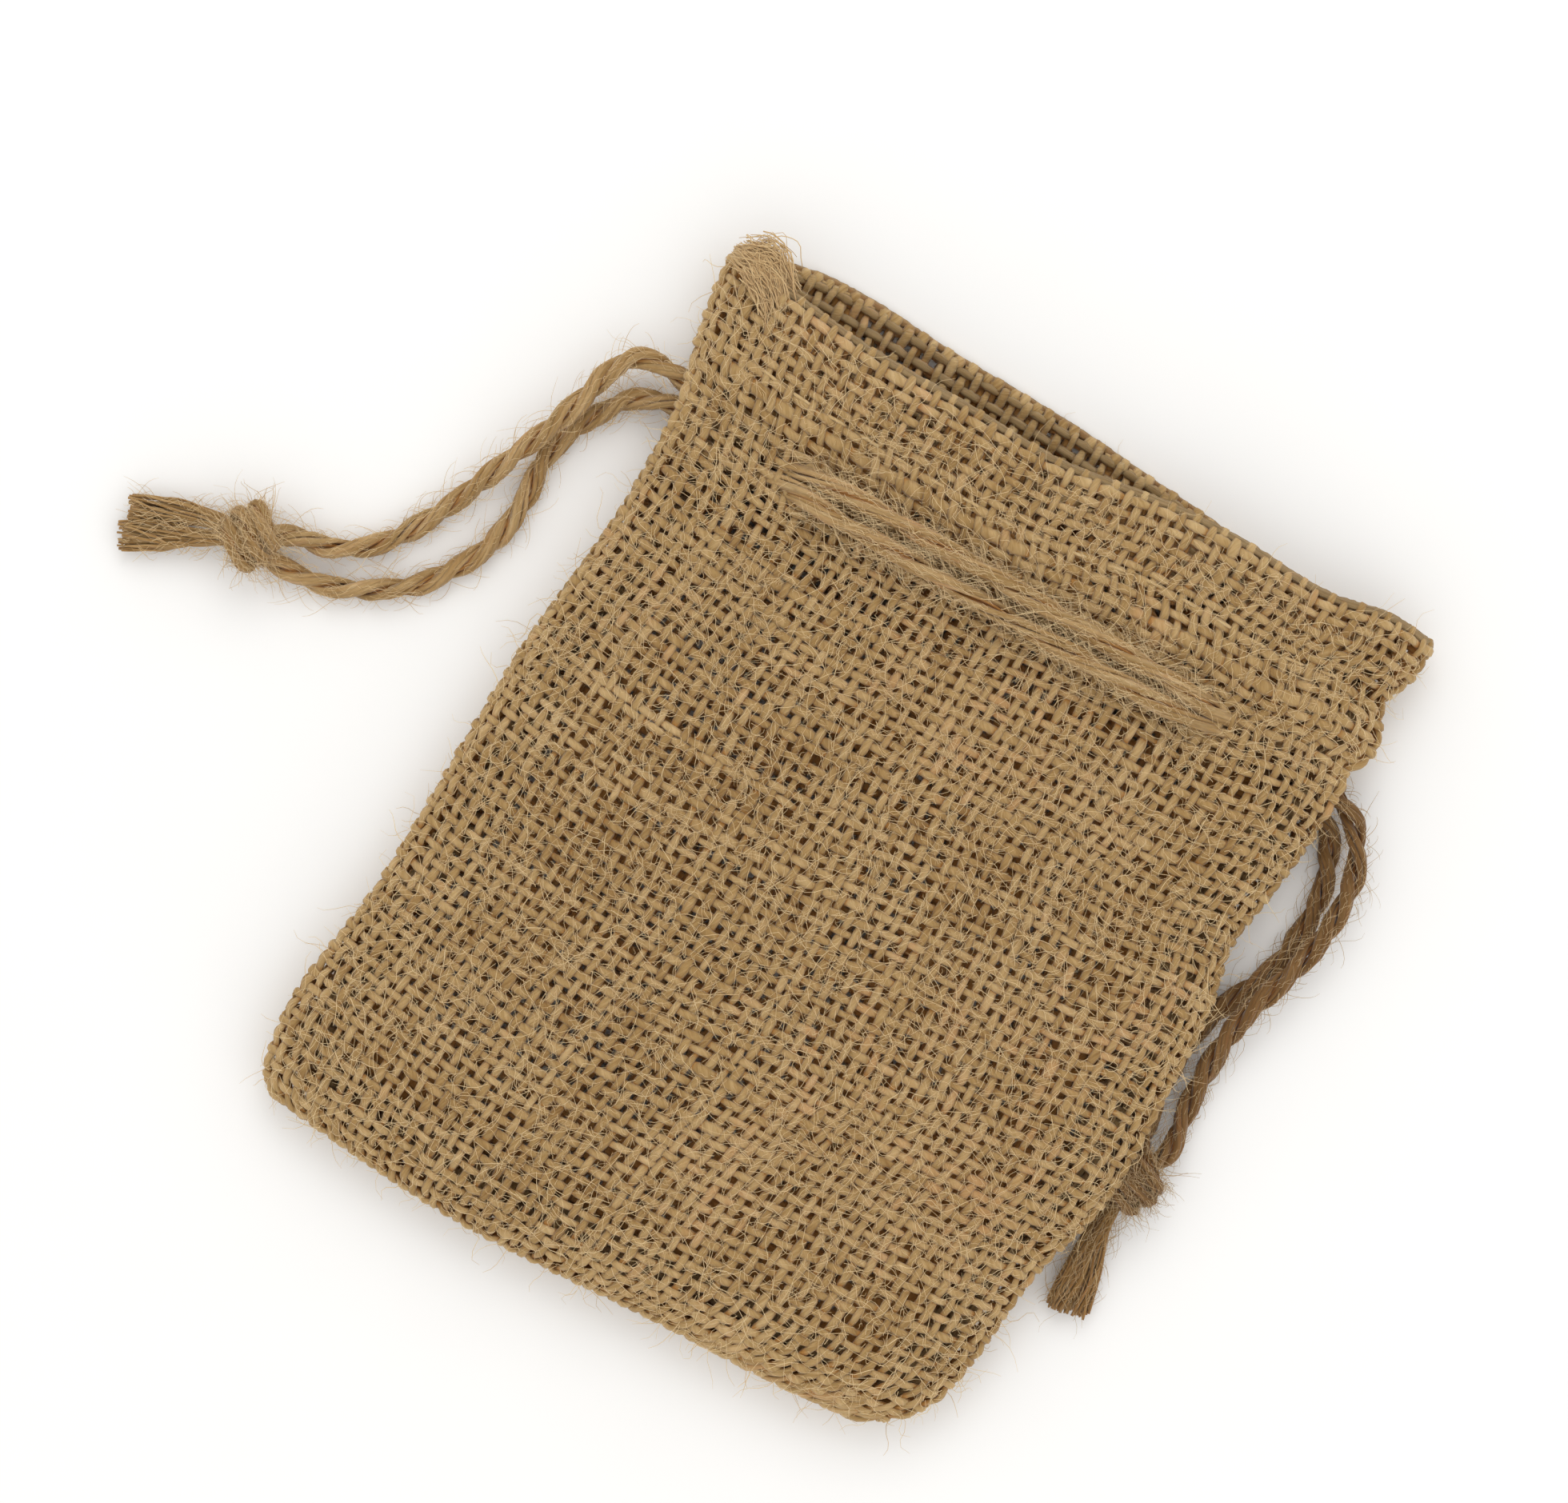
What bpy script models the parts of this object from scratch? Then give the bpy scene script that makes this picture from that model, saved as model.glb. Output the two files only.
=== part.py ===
"""A small hessian drawstring bag, lying on its back with its mouth towards +Y.

Two cloth panels close round a flat pocket. Two cords run through the cloth below
the hem: each one crosses the front, turns inside the far side, crosses the back
and leaves the bag where it went in, and its two ends are tied in one knot.
"""

import math

import bmesh
import bpy
from mathutils import Vector

MM = 0.001

# Cloth, as sewn and lying flat
BAG_LENGTH = 127 * MM
MOUTH_WIDTH = 104 * MM
TAPER = 5 * MM  # how much narrower the base is, all on the right side
CORNER_RADIUS = 7 * MM
CLOTH = 0.8 * MM
LIP_STEP = 4 * MM  # how far the back lip stands past the front one
GAP = 0.3 * MM  # between layers that touch

# Hem, seams and their threads
HEM_DEPTH = 11.5 * MM
HEM_INSET = 9 * MM
HEM_STITCH_INSET = 10 * MM
SEAM_DEPTH = 5.5 * MM
SEAM_INSET = 2.7 * MM
SEAM_THICKNESS = 1.2 * MM
THREAD = 0.5 * MM

# Drawcords
CORD = 3.0 * MM
CORD_SPACING = 0.5 * MM  # clear space between the two runs, side by side
CORD_DROP = 22.75 * MM  # from the back lip down to the line midway between the runs
RUN_INSETS = (23.2 * MM, 21.0 * MM)  # from each side of the mouth to its hole
DIVE = 1.4 * CORD  # half the length over which a run dives through the cloth
RUN_END = 1.6  # where a run ends beyond its hole, in dives
BACK_END = 3 * CORD  # where a back run ends beyond its hole
TURN_START = 12.5 * MM  # where it starts to turn back, beyond its far hole
FLOOR_LEVEL = 0.1 * MM  # under a cord that lies on the floor
LAID_CORD = 3.0 * MM  # the cord that the free ends' routes were laid for
KNOT_WIDTH = 9.6 * MM
KNOT_HEIGHT = 7.6 * MM

# How the flat bag bulges
POCKET_HEIGHT = 4.8 * MM  # clear height left over the back runs
EDGE_ROUNDING = 8 * MM
EXIT_HALF_WIDTH = 6.5 * MM
EXIT_BLEND = 5 * MM
HUMP_RAMP = 8 * MM  # beyond each end of the runs
HUMP_SIDE = 6 * MM  # beside the runs
HUMP_CLEARANCE = 1.0 * MM

HALF_LENGTH = BAG_LENGTH / 2
HALF_MOUTH = MOUTH_WIDTH / 2
CORD_RADIUS = CORD / 2
CORD_PITCH = CORD + CORD_SPACING
RUN_LEFT = -HALF_MOUTH + RUN_INSETS[0]
RUN_RIGHT = HALF_MOUTH - RUN_INSETS[1]
CORD_LINE = HALF_LENGTH - CORD_DROP
LEFT_RUN_Y = CORD_LINE + CORD_PITCH / 2
RIGHT_RUN_Y = CORD_LINE - CORD_PITCH / 2
RUN_BAND = CORD_PITCH / 2 + CORD_RADIUS  # half the width of both runs together
HUMP_HEIGHT = FLOOR_LEVEL + CORD + GAP  # the cloth's underside over the back runs
FRONT_LEVEL = HUMP_HEIGHT + CLOTH + POCKET_HEIGHT  # the front panel's underside
LIP_LIFT = CLOTH + GAP  # room for the front hem above the clear height
SEAM_LEVEL = FRONT_LEVEL / 2 + 0.3 * MM
FRONT_LIP = HALF_LENGTH - LIP_STEP
HEM_EDGE = FRONT_LIP - HEM_DEPTH
LIFT_END = HEM_EDGE - 0.5 * MM  # the front panel is up over its hem from here on

ON_FRONT = FRONT_LEVEL + CLOTH + GAP + CORD_RADIUS  # cord centre on the front panel
UNDER_FRONT = FRONT_LEVEL - GAP - CORD_RADIUS
OVER_BACK = CLOTH + GAP + CORD_RADIUS
ON_FLOOR = FLOOR_LEVEL + CORD_RADIUS

CLOTH_COLOUR = (0.43, 0.28, 0.13, 1)
HEM_COLOUR = (0.47, 0.31, 0.15, 1)
THREAD_COLOUR = (0.55, 0.38, 0.20, 1)
CORD_COLOUR = (0.45, 0.28, 0.12, 1)


def clear_scene():
    for item in list(bpy.data.objects):
        bpy.data.objects.remove(item, do_unlink=True)


def new_collection(name):
    group = bpy.data.collections.new(name)
    bpy.context.scene.collection.children.link(group)
    return group


def material(name, colour, roughness):
    made = bpy.data.materials.new(name)
    made.use_nodes = True
    shader = made.node_tree.nodes["Principled BSDF"]
    shader.inputs["Base Color"].default_value = colour
    shader.inputs["Roughness"].default_value = roughness
    shader.inputs["Metallic"].default_value = 0.0
    return made


def place(name, data, group, colour, roughness=0.9):
    """A new object in its collection, with a material of its own."""
    item = bpy.data.objects.new(name, data)
    group.objects.link(item)
    data.materials.append(material(name, colour, roughness))
    return item


def ease(low, high, value):
    """0 below low, 1 above high and smooth between them."""
    t = min(max((value - low) / (high - low), 0.0), 1.0)
    return t * t * (3 - 2 * t)


def stations(stops, longest):
    """The stops, with each stretch between them cut so that none is over longest."""
    found = [stops[0]]
    for low, high in zip(stops, stops[1:]):
        count = max(1, math.ceil((high - low) / longest))
        found += [low + (high - low) * k / count for k in range(1, count + 1)]
    return found


def corner_inset(y):
    """How far the side draws in at y, for the round corners of the base."""
    above = y + HALF_LENGTH
    if above >= CORNER_RADIUS:
        return 0.0
    return CORNER_RADIUS - math.sqrt(CORNER_RADIUS**2 - (CORNER_RADIUS - above) ** 2)


def left_edge(y):
    return -HALF_MOUTH + corner_inset(y)


def right_edge(y):
    drawn_in = TAPER * (HALF_LENGTH - y) / BAG_LENGTH
    return HALF_MOUTH - drawn_in - corner_inset(y)


def near_edge(distance):
    """1 on an edge, falling to 0 at EDGE_ROUNDING inside it."""
    return max(0.0, 1 - distance / EDGE_ROUNDING) ** 2


def closing(x, y):
    """1 where the panels meet at a side or the base, 0 inside and where cords leave."""
    off_line = abs(y - CORD_LINE)
    sewn = ease(EXIT_HALF_WIDTH, EXIT_HALF_WIDTH + EXIT_BLEND, off_line)
    side = 1 - near_edge(x - left_edge(y)) * sewn
    side *= 1 - near_edge(right_edge(y) - x) * sewn
    return 1 - side * (1 - near_edge(y + HALF_LENGTH))


def hump(x, y):
    """1 over the back runs, 0 away from them."""
    half_width = RUN_BAND + HUMP_CLEARANCE
    across = 1 - ease(half_width, half_width + HUMP_SIDE, abs(y - CORD_LINE))
    left = ease(RUN_LEFT - HUMP_RAMP, RUN_LEFT, x)
    right = 1 - ease(RUN_RIGHT, RUN_RIGHT + HUMP_RAMP, x)
    return across * left * right


def back_height(x, y):
    middle = CLOTH / 2 + HUMP_HEIGHT * hump(x, y)
    edge = SEAM_LEVEL - (CLOTH + GAP) / 2
    return middle + (edge - middle) * closing(x, y)


def front_height(x, y):
    lift = LIP_LIFT * ease(CORD_LINE + RUN_BAND + GAP, LIFT_END, y)
    middle = FRONT_LEVEL + CLOTH / 2 + lift
    edge = SEAM_LEVEL + (CLOTH + GAP) / 2
    return middle + (edge - middle) * closing(x, y)


def rows(lip):
    """Stations from the base to a lip, close together where the cloth curves."""
    band = RUN_BAND + HUMP_CLEARANCE
    stops = [-HALF_LENGTH + EDGE_ROUNDING * share for share in (0, 0.25, 0.55, 1)]
    stops += [CORD_LINE - band - HUMP_SIDE, CORD_LINE - band - HUMP_SIDE / 2]
    stops += [CORD_LINE - band, CORD_LINE + band, LIFT_END]
    stops += [CORD_LINE + band + HUMP_SIDE, lip]
    return stations(sorted(stops), 12 * MM)


def columns():
    """Stations from side to side at the mouth, as shares of its width."""
    edge = [EDGE_ROUNDING * share for share in (0, 0.25, 0.55, 1)]
    stops = [-HALF_MOUTH + step for step in edge]
    stops += [RUN_LEFT - HUMP_RAMP, RUN_LEFT - HUMP_RAMP / 2, RUN_LEFT]
    stops += [RUN_RIGHT, RUN_RIGHT + HUMP_RAMP / 2, RUN_RIGHT + HUMP_RAMP]
    stops += [HALF_MOUTH - step for step in edge]
    return [x / MOUTH_WIDTH + 0.5 for x in stations(sorted(stops), 13 * MM)]


def panel(name, lip, height, group):
    """A flat grid moved onto the panel's middle surface, then given its thickness."""
    ys = rows(lip)
    shares = columns()
    mesh = bpy.data.meshes.new(name)
    bm = bmesh.new()
    across, along = len(shares) - 1, len(ys) - 1
    bmesh.ops.create_grid(bm, x_segments=across, y_segments=along, size=0.5)
    for vertex in bm.verts:
        share = shares[round((vertex.co.x + 0.5) * across)]
        y = ys[round((vertex.co.y + 0.5) * along)]
        x = left_edge(y) + (right_edge(y) - left_edge(y)) * share
        vertex.co = Vector((x, y, height(x, y)))
    bm.to_mesh(mesh)
    bm.free()
    item = place(name, mesh, group, CLOTH_COLOUR)
    wall = item.modifiers.new("Cloth", "SOLIDIFY")
    wall.thickness = CLOTH
    wall.offset = 0.0
    return item


def block(name, low, high, group, colour, turn=0.0):
    """A box between two corners, turned about the middle of its own plan."""
    bpy.ops.mesh.primitive_cube_add(size=1)
    item = bpy.context.object
    item.name = name
    item.data.name = name
    size = Vector(high) - Vector(low)
    for vertex in item.data.vertices:
        vertex.co = Vector([a * b for a, b in zip(vertex.co, size)])
    item.location = (Vector(low) + Vector(high)) / 2
    item.rotation_euler.z = turn
    for owner in list(item.users_collection):
        owner.objects.unlink(item)
    group.objects.link(item)
    item.data.materials.append(material(name, colour, 0.9))
    return item


def cut(item, cutter):
    cutter.hide_render = True
    cutter.display_type = "WIRE"
    window = item.modifiers.new(cutter.name, "BOOLEAN")
    window.operation = "DIFFERENCE"
    window.solver = "EXACT"
    window.object = cutter


def smooth_route(route, step):
    """Points about step apart on a Catmull-Rom curve through the route's points."""
    ends = [route[0] * 2 - route[1]] + route + [route[-1] * 2 - route[-2]]
    found = []
    for a, b, c, d in zip(ends, ends[1:], ends[2:], ends[3:]):
        count = max(1, round((c - b).length / step))
        for k in range(count):
            t = k / count
            bend = 2 * a - 5 * b + 4 * c - d
            swing = 3 * b - a - 3 * c + d
            found.append(b + 0.5 * t * ((c - a) + t * (bend + t * swing)))
    return found + [route[-1]]


def tube(name, route, width, group, colour, step=2.2):
    """A round tube along a route given in metres, with filled ends."""
    points = smooth_route([Vector(p) for p in route], step * width)
    data = bpy.data.curves.new(name, "CURVE")
    data.dimensions = "3D"
    data.bevel_depth = width / 2
    data.bevel_resolution = 2
    data.use_fill_caps = True
    spline = data.splines.new("POLY")
    spline.points.add(len(points) - 1)
    for point, place_at in zip(spline.points, points):
        point.co = (*place_at, 1)
    return place(name, data, group, colour)


def front_run(y):
    """Over the front between two dives, its ends just under the cloth."""
    middle = (UNDER_FRONT + ON_FRONT) / 2
    dive = [
        (-RUN_END * DIVE, UNDER_FRONT),
        (-0.9 * DIVE, UNDER_FRONT),
        (0.0, middle),
        (0.9 * DIVE, ON_FRONT),
        (RUN_END * DIVE, ON_FRONT),
    ]
    left = [(RUN_LEFT + x, y, z) for x, z in dive]
    right = [(RUN_RIGHT - x, y, z) for x, z in reversed(dive)]
    return left + [((RUN_LEFT + RUN_RIGHT) / 2, y, ON_FRONT)] + right


def back_run(y, near, far, side):
    """From the near hole under the back to the far one, then round inside the far side.

    side is 1 where the far side is the right one and -1 where it is the left one.
    """
    bend = (UNDER_FRONT - OVER_BACK) / 2
    turn_at = far + side * TURN_START
    middle = (UNDER_FRONT + OVER_BACK) / 2
    return [
        (near - side * BACK_END, y, OVER_BACK),
        (near - side * 5.5 * MM, y, OVER_BACK - 0.3 * MM),
        (near + side * 1.0 * MM, y, ON_FLOOR),
        ((near + far) / 2, y, ON_FLOOR),
        (far - side * 1.0 * MM, y, ON_FLOOR),
        (far + side * 5.5 * MM, y, OVER_BACK - 0.3 * MM),
        (far + side * BACK_END, y, OVER_BACK),
        (turn_at, y, OVER_BACK),
        (turn_at + side * bend * 0.8, y, middle - bend * 0.6),
        (turn_at + side * bend, y, middle),
        (turn_at + side * bend * 0.8, y, middle + bend * 0.6),
        (turn_at, y, UNDER_FRONT),
        (far + side * (RUN_END * DIVE + GAP), y, UNDER_FRONT),
    ]


# The free ends, as they lie, the front one over the back one where they cross. Each
# point is in millimetres: out from the bag's side, along from the line of the runs
# towards the mouth, and up from a cord that lies on the floor. A pull starts
# straight, inside the bag.
LEFT_FRONT_LAY = [
    (3.8, 4.0, 3.2),
    (6.5, 0.7, 3.2),
    (8.0, -4.6, 3.4),
    (10.3, -11.2, 3.2),
    (13.7, -19.4, 1.3),
    (17.7, -28.3, 0.05),
    (21.8, -34.4, 0.05),
    (26.6, -37.9, 0.4),
    (32.0, -39.2, 1.6),
]
LEFT_BACK_LAY = [
    (2.0, -1.0, 1.0),
    (5.0, -4.6, 0.3),
    (7.4, -9.0, 0.05),
    (8.6, -13.9, 0.05),
    (8.2, -19.0, 0.05),
    (8.6, -25.4, 0.05),
    (10.9, -31.2, 0.05),
    (15.6, -37.4, 0.05),
    (22.2, -41.6, 0.05),
    (27.6, -43.2, 0.4),
    (32.0, -43.4, 1.4),
]
RIGHT_FRONT_LAY = [
    (3.8, -1.5, 2.6),
    (6.4, -4.3, 2.2),
    (8.3, -8.2, 2.2),
    (8.9, -13.4, 2.8),
    (8.2, -19.8, 3.2),
    (6.8, -25.2, 3.3),
    (5.0, -31.0, 3.1),
    (4.4, -36.4, 1.8),
    (4.5, -42.2, 0.3),
    (5.0, -48.2, 0.4),
    (5.3, -51.9, 1.4),
]
RIGHT_BACK_LAY = [
    (2.1, -4.2, 0.8),
    (4.2, -7.6, 0.1),
    (5.6, -11.4, 0.05),
    (6.2, -15.6, 0.05),
    (6.0, -20.6, 0.05),
    (4.8, -25.8, 0.05),
    (2.4, -31.0, 0.05),
    (0.6, -36.6, 0.05),
    (0.2, -42.6, 0.05),
    (0.7, -48.4, 0.4),
    (1.3, -51.7, 1.4),
]
LEFT_KNOT = (37.2, -41.7, 2.4)
RIGHT_KNOT = (3.5, -57.3, 2.4)
LEFT_TAILS = (
    [(42.6, -42.1, 1.6), (46.4, -43.3, 0.3), (49.8, -45.1, 0.05), (53.2, -47.3, 0.05)],
    [(41.8, -45.7, 1.6), (45.0, -47.7, 0.3), (48.6, -49.3, 0.05), (52.0, -51.3, 0.05)],
)
RIGHT_TAILS = (
    [(5.8, -62.9, 1.6), (6.2, -66.5, 0.3), (6.1, -70.9, 0.05), (5.7, -75.5, 0.05)],
    [(2.0, -63.1, 1.6), (1.8, -66.7, 0.3), (2.2, -71.3, 0.05), (1.9, -76.5, 0.05)],
)


def laid(points, side, spread=0.0):
    """Places for points given from a side: side is -1 on the left and 1 on the right."""
    edge = -left_edge(CORD_LINE) if side < 0 else right_edge(CORD_LINE)
    return [
        (side * (edge + spread + out * MM), CORD_LINE + along * MM, ON_FLOOR + up * MM)
        for out, along, up in points
    ]


def pull(side, layer, lay):
    """A free end: straight inside the bag, then out through its side and round."""
    edge = -left_edge(CORD_LINE) if side < 0 else right_edge(CORD_LINE)
    hole = -RUN_LEFT if side < 0 else RUN_RIGHT
    y = LEFT_RUN_Y if side < 0 else RIGHT_RUN_Y
    if layer == "front":
        start, level, turned, spread = RUN_END * DIVE, UNDER_FRONT, 1.0 * MM, CORD - LAID_CORD
    else:
        start, level, turned, spread = BACK_END, OVER_BACK, -0.8 * MM, 0.0
    inside = [
        (side * (hole + start + GAP), y, level),
        (side * (edge - 8.5 * MM), y, level),
        (side * (edge - 2.5 * MM), y + turned, level - 0.1 * MM),
    ]
    return inside + laid(lay, side, spread)


def knot(name, centre, group):
    """The outer form of the overhand knot: a low ball."""
    mesh = bpy.data.meshes.new(name)
    bm = bmesh.new()
    bmesh.ops.create_uvsphere(bm, u_segments=18, v_segments=12, radius=0.5)
    bmesh.ops.scale(bm, vec=(KNOT_WIDTH, KNOT_WIDTH, KNOT_HEIGHT), verts=bm.verts)
    bm.to_mesh(mesh)
    bm.free()
    mesh.shade_smooth()
    item = place(name, mesh, group, CORD_COLOUR)
    item.location = centre
    return item


def build_cloth(bag, cutters):
    back = panel("back_panel", HALF_LENGTH, back_height, bag)
    front = panel("front_panel", FRONT_LIP, front_height, bag)
    half_band = RUN_BAND + 2 * GAP
    low_y, high_y = CORD_LINE - half_band, CORD_LINE + half_band
    for side, hole in (("left", RUN_LEFT), ("right", RUN_RIGHT)):
        out = -1 if side == "left" else 1
        span = (hole - DIVE, hole + DIVE)
        low, high = (span[0], low_y, 6 * MM), (span[1], high_y, 14 * MM)
        cut(front, block(f"front_{side}_hole", low, high, cutters, CLOTH_COLOUR))
        span = sorted((hole - out * 1.5 * MM, hole + out * (HUMP_RAMP + 0.8 * MM)))
        low, high = (span[0], low_y, -2 * MM), (span[1], high_y, 6 * MM)
        cut(back, block(f"back_{side}_hole", low, high, cutters, CLOTH_COLOUR))


def build_hems(bag):
    half = HALF_MOUTH - HEM_INSET
    front_top = FRONT_LEVEL + LIP_LIFT - GAP
    back_bottom = CLOTH + GAP
    for side, lip, bottom in (
        ("front", FRONT_LIP, front_top - CLOTH),
        ("back", HALF_LENGTH, back_bottom),
    ):
        low = (-half, lip - HEM_DEPTH, bottom)
        high = (half, lip - GAP, bottom + CLOTH)
        block(f"{side}_hem", low, high, bag, HEM_COLOUR)
    front_thread = FRONT_LEVEL + LIP_LIFT + CLOTH + GAP + THREAD / 2
    back_thread = back_bottom + CLOTH + GAP + THREAD / 2
    for side, lip, level in (
        ("front", FRONT_LIP, front_thread),
        ("back", HALF_LENGTH, back_thread),
    ):
        y = lip - HEM_STITCH_INSET
        route = [(x * half, y, level) for x in (-1, -0.5, 0, 0.5, 1)]
        tube(f"{side}_hem_stitching", route, THREAD, bag, THREAD_COLOUR, step=30)


def build_seams(bag):
    """The turned-in edges of both panels, sewn together at the sides and the base."""
    top = CORD_LINE - EXIT_HALF_WIDTH - GAP
    base = -HALF_LENGTH + SEAM_INSET
    bottom = base + SEAM_DEPTH + 1 * MM
    low_z = SEAM_LEVEL - SEAM_THICKNESS / 2
    high_z = SEAM_LEVEL + SEAM_THICKNESS / 2
    thread_z = high_z + GAP + THREAD / 2
    middle_y = (top + bottom) / 2
    slant = math.atan2(TAPER, BAG_LENGTH)
    sides = (
        ("left", left_edge(middle_y) + SEAM_INSET, 0.0),
        ("right", right_edge(middle_y) - SEAM_INSET - SEAM_DEPTH, -slant),
    )
    for side, x, turn in sides:
        low, high = (x, bottom, low_z), (x + SEAM_DEPTH, top, high_z)
        block(f"{side}_seam", low, high, bag, HEM_COLOUR, turn)
        centre_x = x + SEAM_DEPTH / 2
        reach = (top - bottom) / 2 - 1 * MM
        lean = math.tan(-turn)
        route = [
            (centre_x + lean * share * reach, middle_y + share * reach, thread_z)
            for share in (-1, 0, 1)
        ]
        tube(f"{side}_seam_stitching", route, THREAD, bag, THREAD_COLOUR, step=60)
    left = left_edge(bottom) + EDGE_ROUNDING
    right = right_edge(bottom) - EDGE_ROUNDING
    low, high = (left, base, low_z), (right, base + SEAM_DEPTH, high_z)
    block("base_seam", low, high, bag, HEM_COLOUR)
    y = base + SEAM_DEPTH / 2
    route = [(left + 1 * MM, y, thread_z), (right - 1 * MM, y, thread_z)]
    tube("base_seam_stitching", route, THREAD, bag, THREAD_COLOUR, step=60)


def build_cords(bag):
    runs = (
        ("left", LEFT_RUN_Y, RUN_LEFT, RUN_RIGHT, 1),
        ("right", RIGHT_RUN_Y, RUN_RIGHT, RUN_LEFT, -1),
    )
    for side, y, near, far, way in runs:
        tube(f"{side}_cord_front_run", front_run(y), CORD, bag, CORD_COLOUR, 1.2)
        route = back_run(y, near, far, way)
        tube(f"{side}_cord_back_run", route, CORD, bag, CORD_COLOUR, 1.2)
    ends = (
        ("left", -1, LEFT_FRONT_LAY, LEFT_BACK_LAY, LEFT_KNOT, LEFT_TAILS),
        ("right", 1, RIGHT_FRONT_LAY, RIGHT_BACK_LAY, RIGHT_KNOT, RIGHT_TAILS),
    )
    for side, sign, front, back, centre, tails in ends:
        route = pull(sign, "front", front)
        tube(f"{side}_pull_front", route, CORD, bag, CORD_COLOUR, 1.3)
        route = pull(sign, "back", back)
        tube(f"{side}_pull_back", route, CORD, bag, CORD_COLOUR, 1.3)
        knot(f"{side}_knot", laid([centre], sign)[0], bag)
        for number, tail in enumerate(tails, 1):
            name = f"{side}_tail_{number}"
            tube(name, laid(tail, sign), CORD, bag, CORD_COLOUR, 1.5)


def main():
    clear_scene()
    bag = new_collection("drawstring_bag")
    cutters = new_collection("cutters")
    build_cloth(bag, cutters)
    build_hems(bag)
    build_seams(bag)
    build_cords(bag)


main()
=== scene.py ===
import math

import bpy
import numpy as np
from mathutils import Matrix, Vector


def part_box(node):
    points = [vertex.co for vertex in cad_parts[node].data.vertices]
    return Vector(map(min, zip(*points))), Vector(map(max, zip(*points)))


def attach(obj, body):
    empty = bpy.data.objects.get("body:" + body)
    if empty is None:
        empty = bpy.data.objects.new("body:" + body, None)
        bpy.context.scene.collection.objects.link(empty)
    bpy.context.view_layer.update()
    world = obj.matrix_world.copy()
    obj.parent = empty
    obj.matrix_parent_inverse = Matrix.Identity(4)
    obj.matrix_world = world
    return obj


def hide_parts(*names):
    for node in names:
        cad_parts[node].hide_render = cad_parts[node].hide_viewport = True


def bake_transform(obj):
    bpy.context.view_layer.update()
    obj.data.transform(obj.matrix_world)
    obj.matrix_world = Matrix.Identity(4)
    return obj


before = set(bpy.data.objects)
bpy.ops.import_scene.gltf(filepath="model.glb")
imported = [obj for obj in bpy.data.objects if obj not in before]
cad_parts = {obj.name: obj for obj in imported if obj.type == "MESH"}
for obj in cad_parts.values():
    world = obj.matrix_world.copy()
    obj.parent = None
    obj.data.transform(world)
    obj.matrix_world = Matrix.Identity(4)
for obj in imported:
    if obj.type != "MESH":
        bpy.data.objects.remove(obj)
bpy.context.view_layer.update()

# Jute drawstring bag, lying flat: every thread of the cloth is a tube of its own.
# Lengths are in metres. x runs across the bag, y from its base to its mouth, z up.

mm = 0.001
rng = np.random.default_rng(4127)

backLow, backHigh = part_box("back_panel")
_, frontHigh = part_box("front_panel")
seamLow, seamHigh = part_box("left_seam")
leftRunLow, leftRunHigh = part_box("left_cord_front_run")
_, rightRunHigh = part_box("right_cord_front_run")


# Shapes shared by all pieces.

def smoothCurve(stops, x):
    # cubic through the given stops (place, value): each stop's slope is that of its neighbours
    px, py = np.array(stops, float).T
    slope = np.gradient(py, px)
    x = np.clip(x, px[0], px[-1])
    k = np.clip(np.searchsorted(px, x) - 1, 0, len(px) - 2)
    h = px[k + 1] - px[k]
    q = (x - px[k]) / h
    a = (1 + 2 * q) * (1 - q) ** 2 * py[k] + q * q * (3 - 2 * q) * py[k + 1]
    return a + h * (q * (1 - q) ** 2 * slope[k] - q * q * (1 - q) * slope[k + 1])


def ease(low, high, x):
    # 0 below low, 1 above high, smooth between
    q = np.clip((x - low) / (high - low), 0, 1)
    return q * q * (3 - 2 * q)


def unit(v):
    # the same direction at length one
    return v / np.maximum(np.linalg.norm(v, axis=-1, keepdims=True), 1e-12)


def drift(rows, columns, stops, size):
    # a slow random walk along each row: random stops joined by a cosine
    values = rng.normal(0, size, (rows, stops + 1))
    x = np.linspace(0, stops, columns)
    k = np.minimum(x.astype(int), stops - 1)
    q = 0.5 - 0.5 * np.cos(np.pi * (x - k))
    return values[:, k] * (1 - q) + values[:, k + 1] * q


def makeWaves(count, shortest, longest, size):
    # random plane waves: (kx, ky, phase, height) for each
    turn = rng.uniform(0, 2 * np.pi, count)
    number = 2 * np.pi / rng.uniform(shortest, longest, count)
    heights = rng.uniform(0.5, 1.0, count) * size / math.sqrt(count)
    return np.stack([number * np.cos(turn), number * np.sin(turn),
                     rng.uniform(0, 2 * np.pi, count), heights], 1)


def sumWaves(waves, x, y):
    # the waves' sines added up at each place
    total = np.zeros(np.broadcast(x, y).shape)
    for kx, ky, phase, height in waves:
        total = total + height * np.sin(kx * x + ky * y + phase)
    return total


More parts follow.
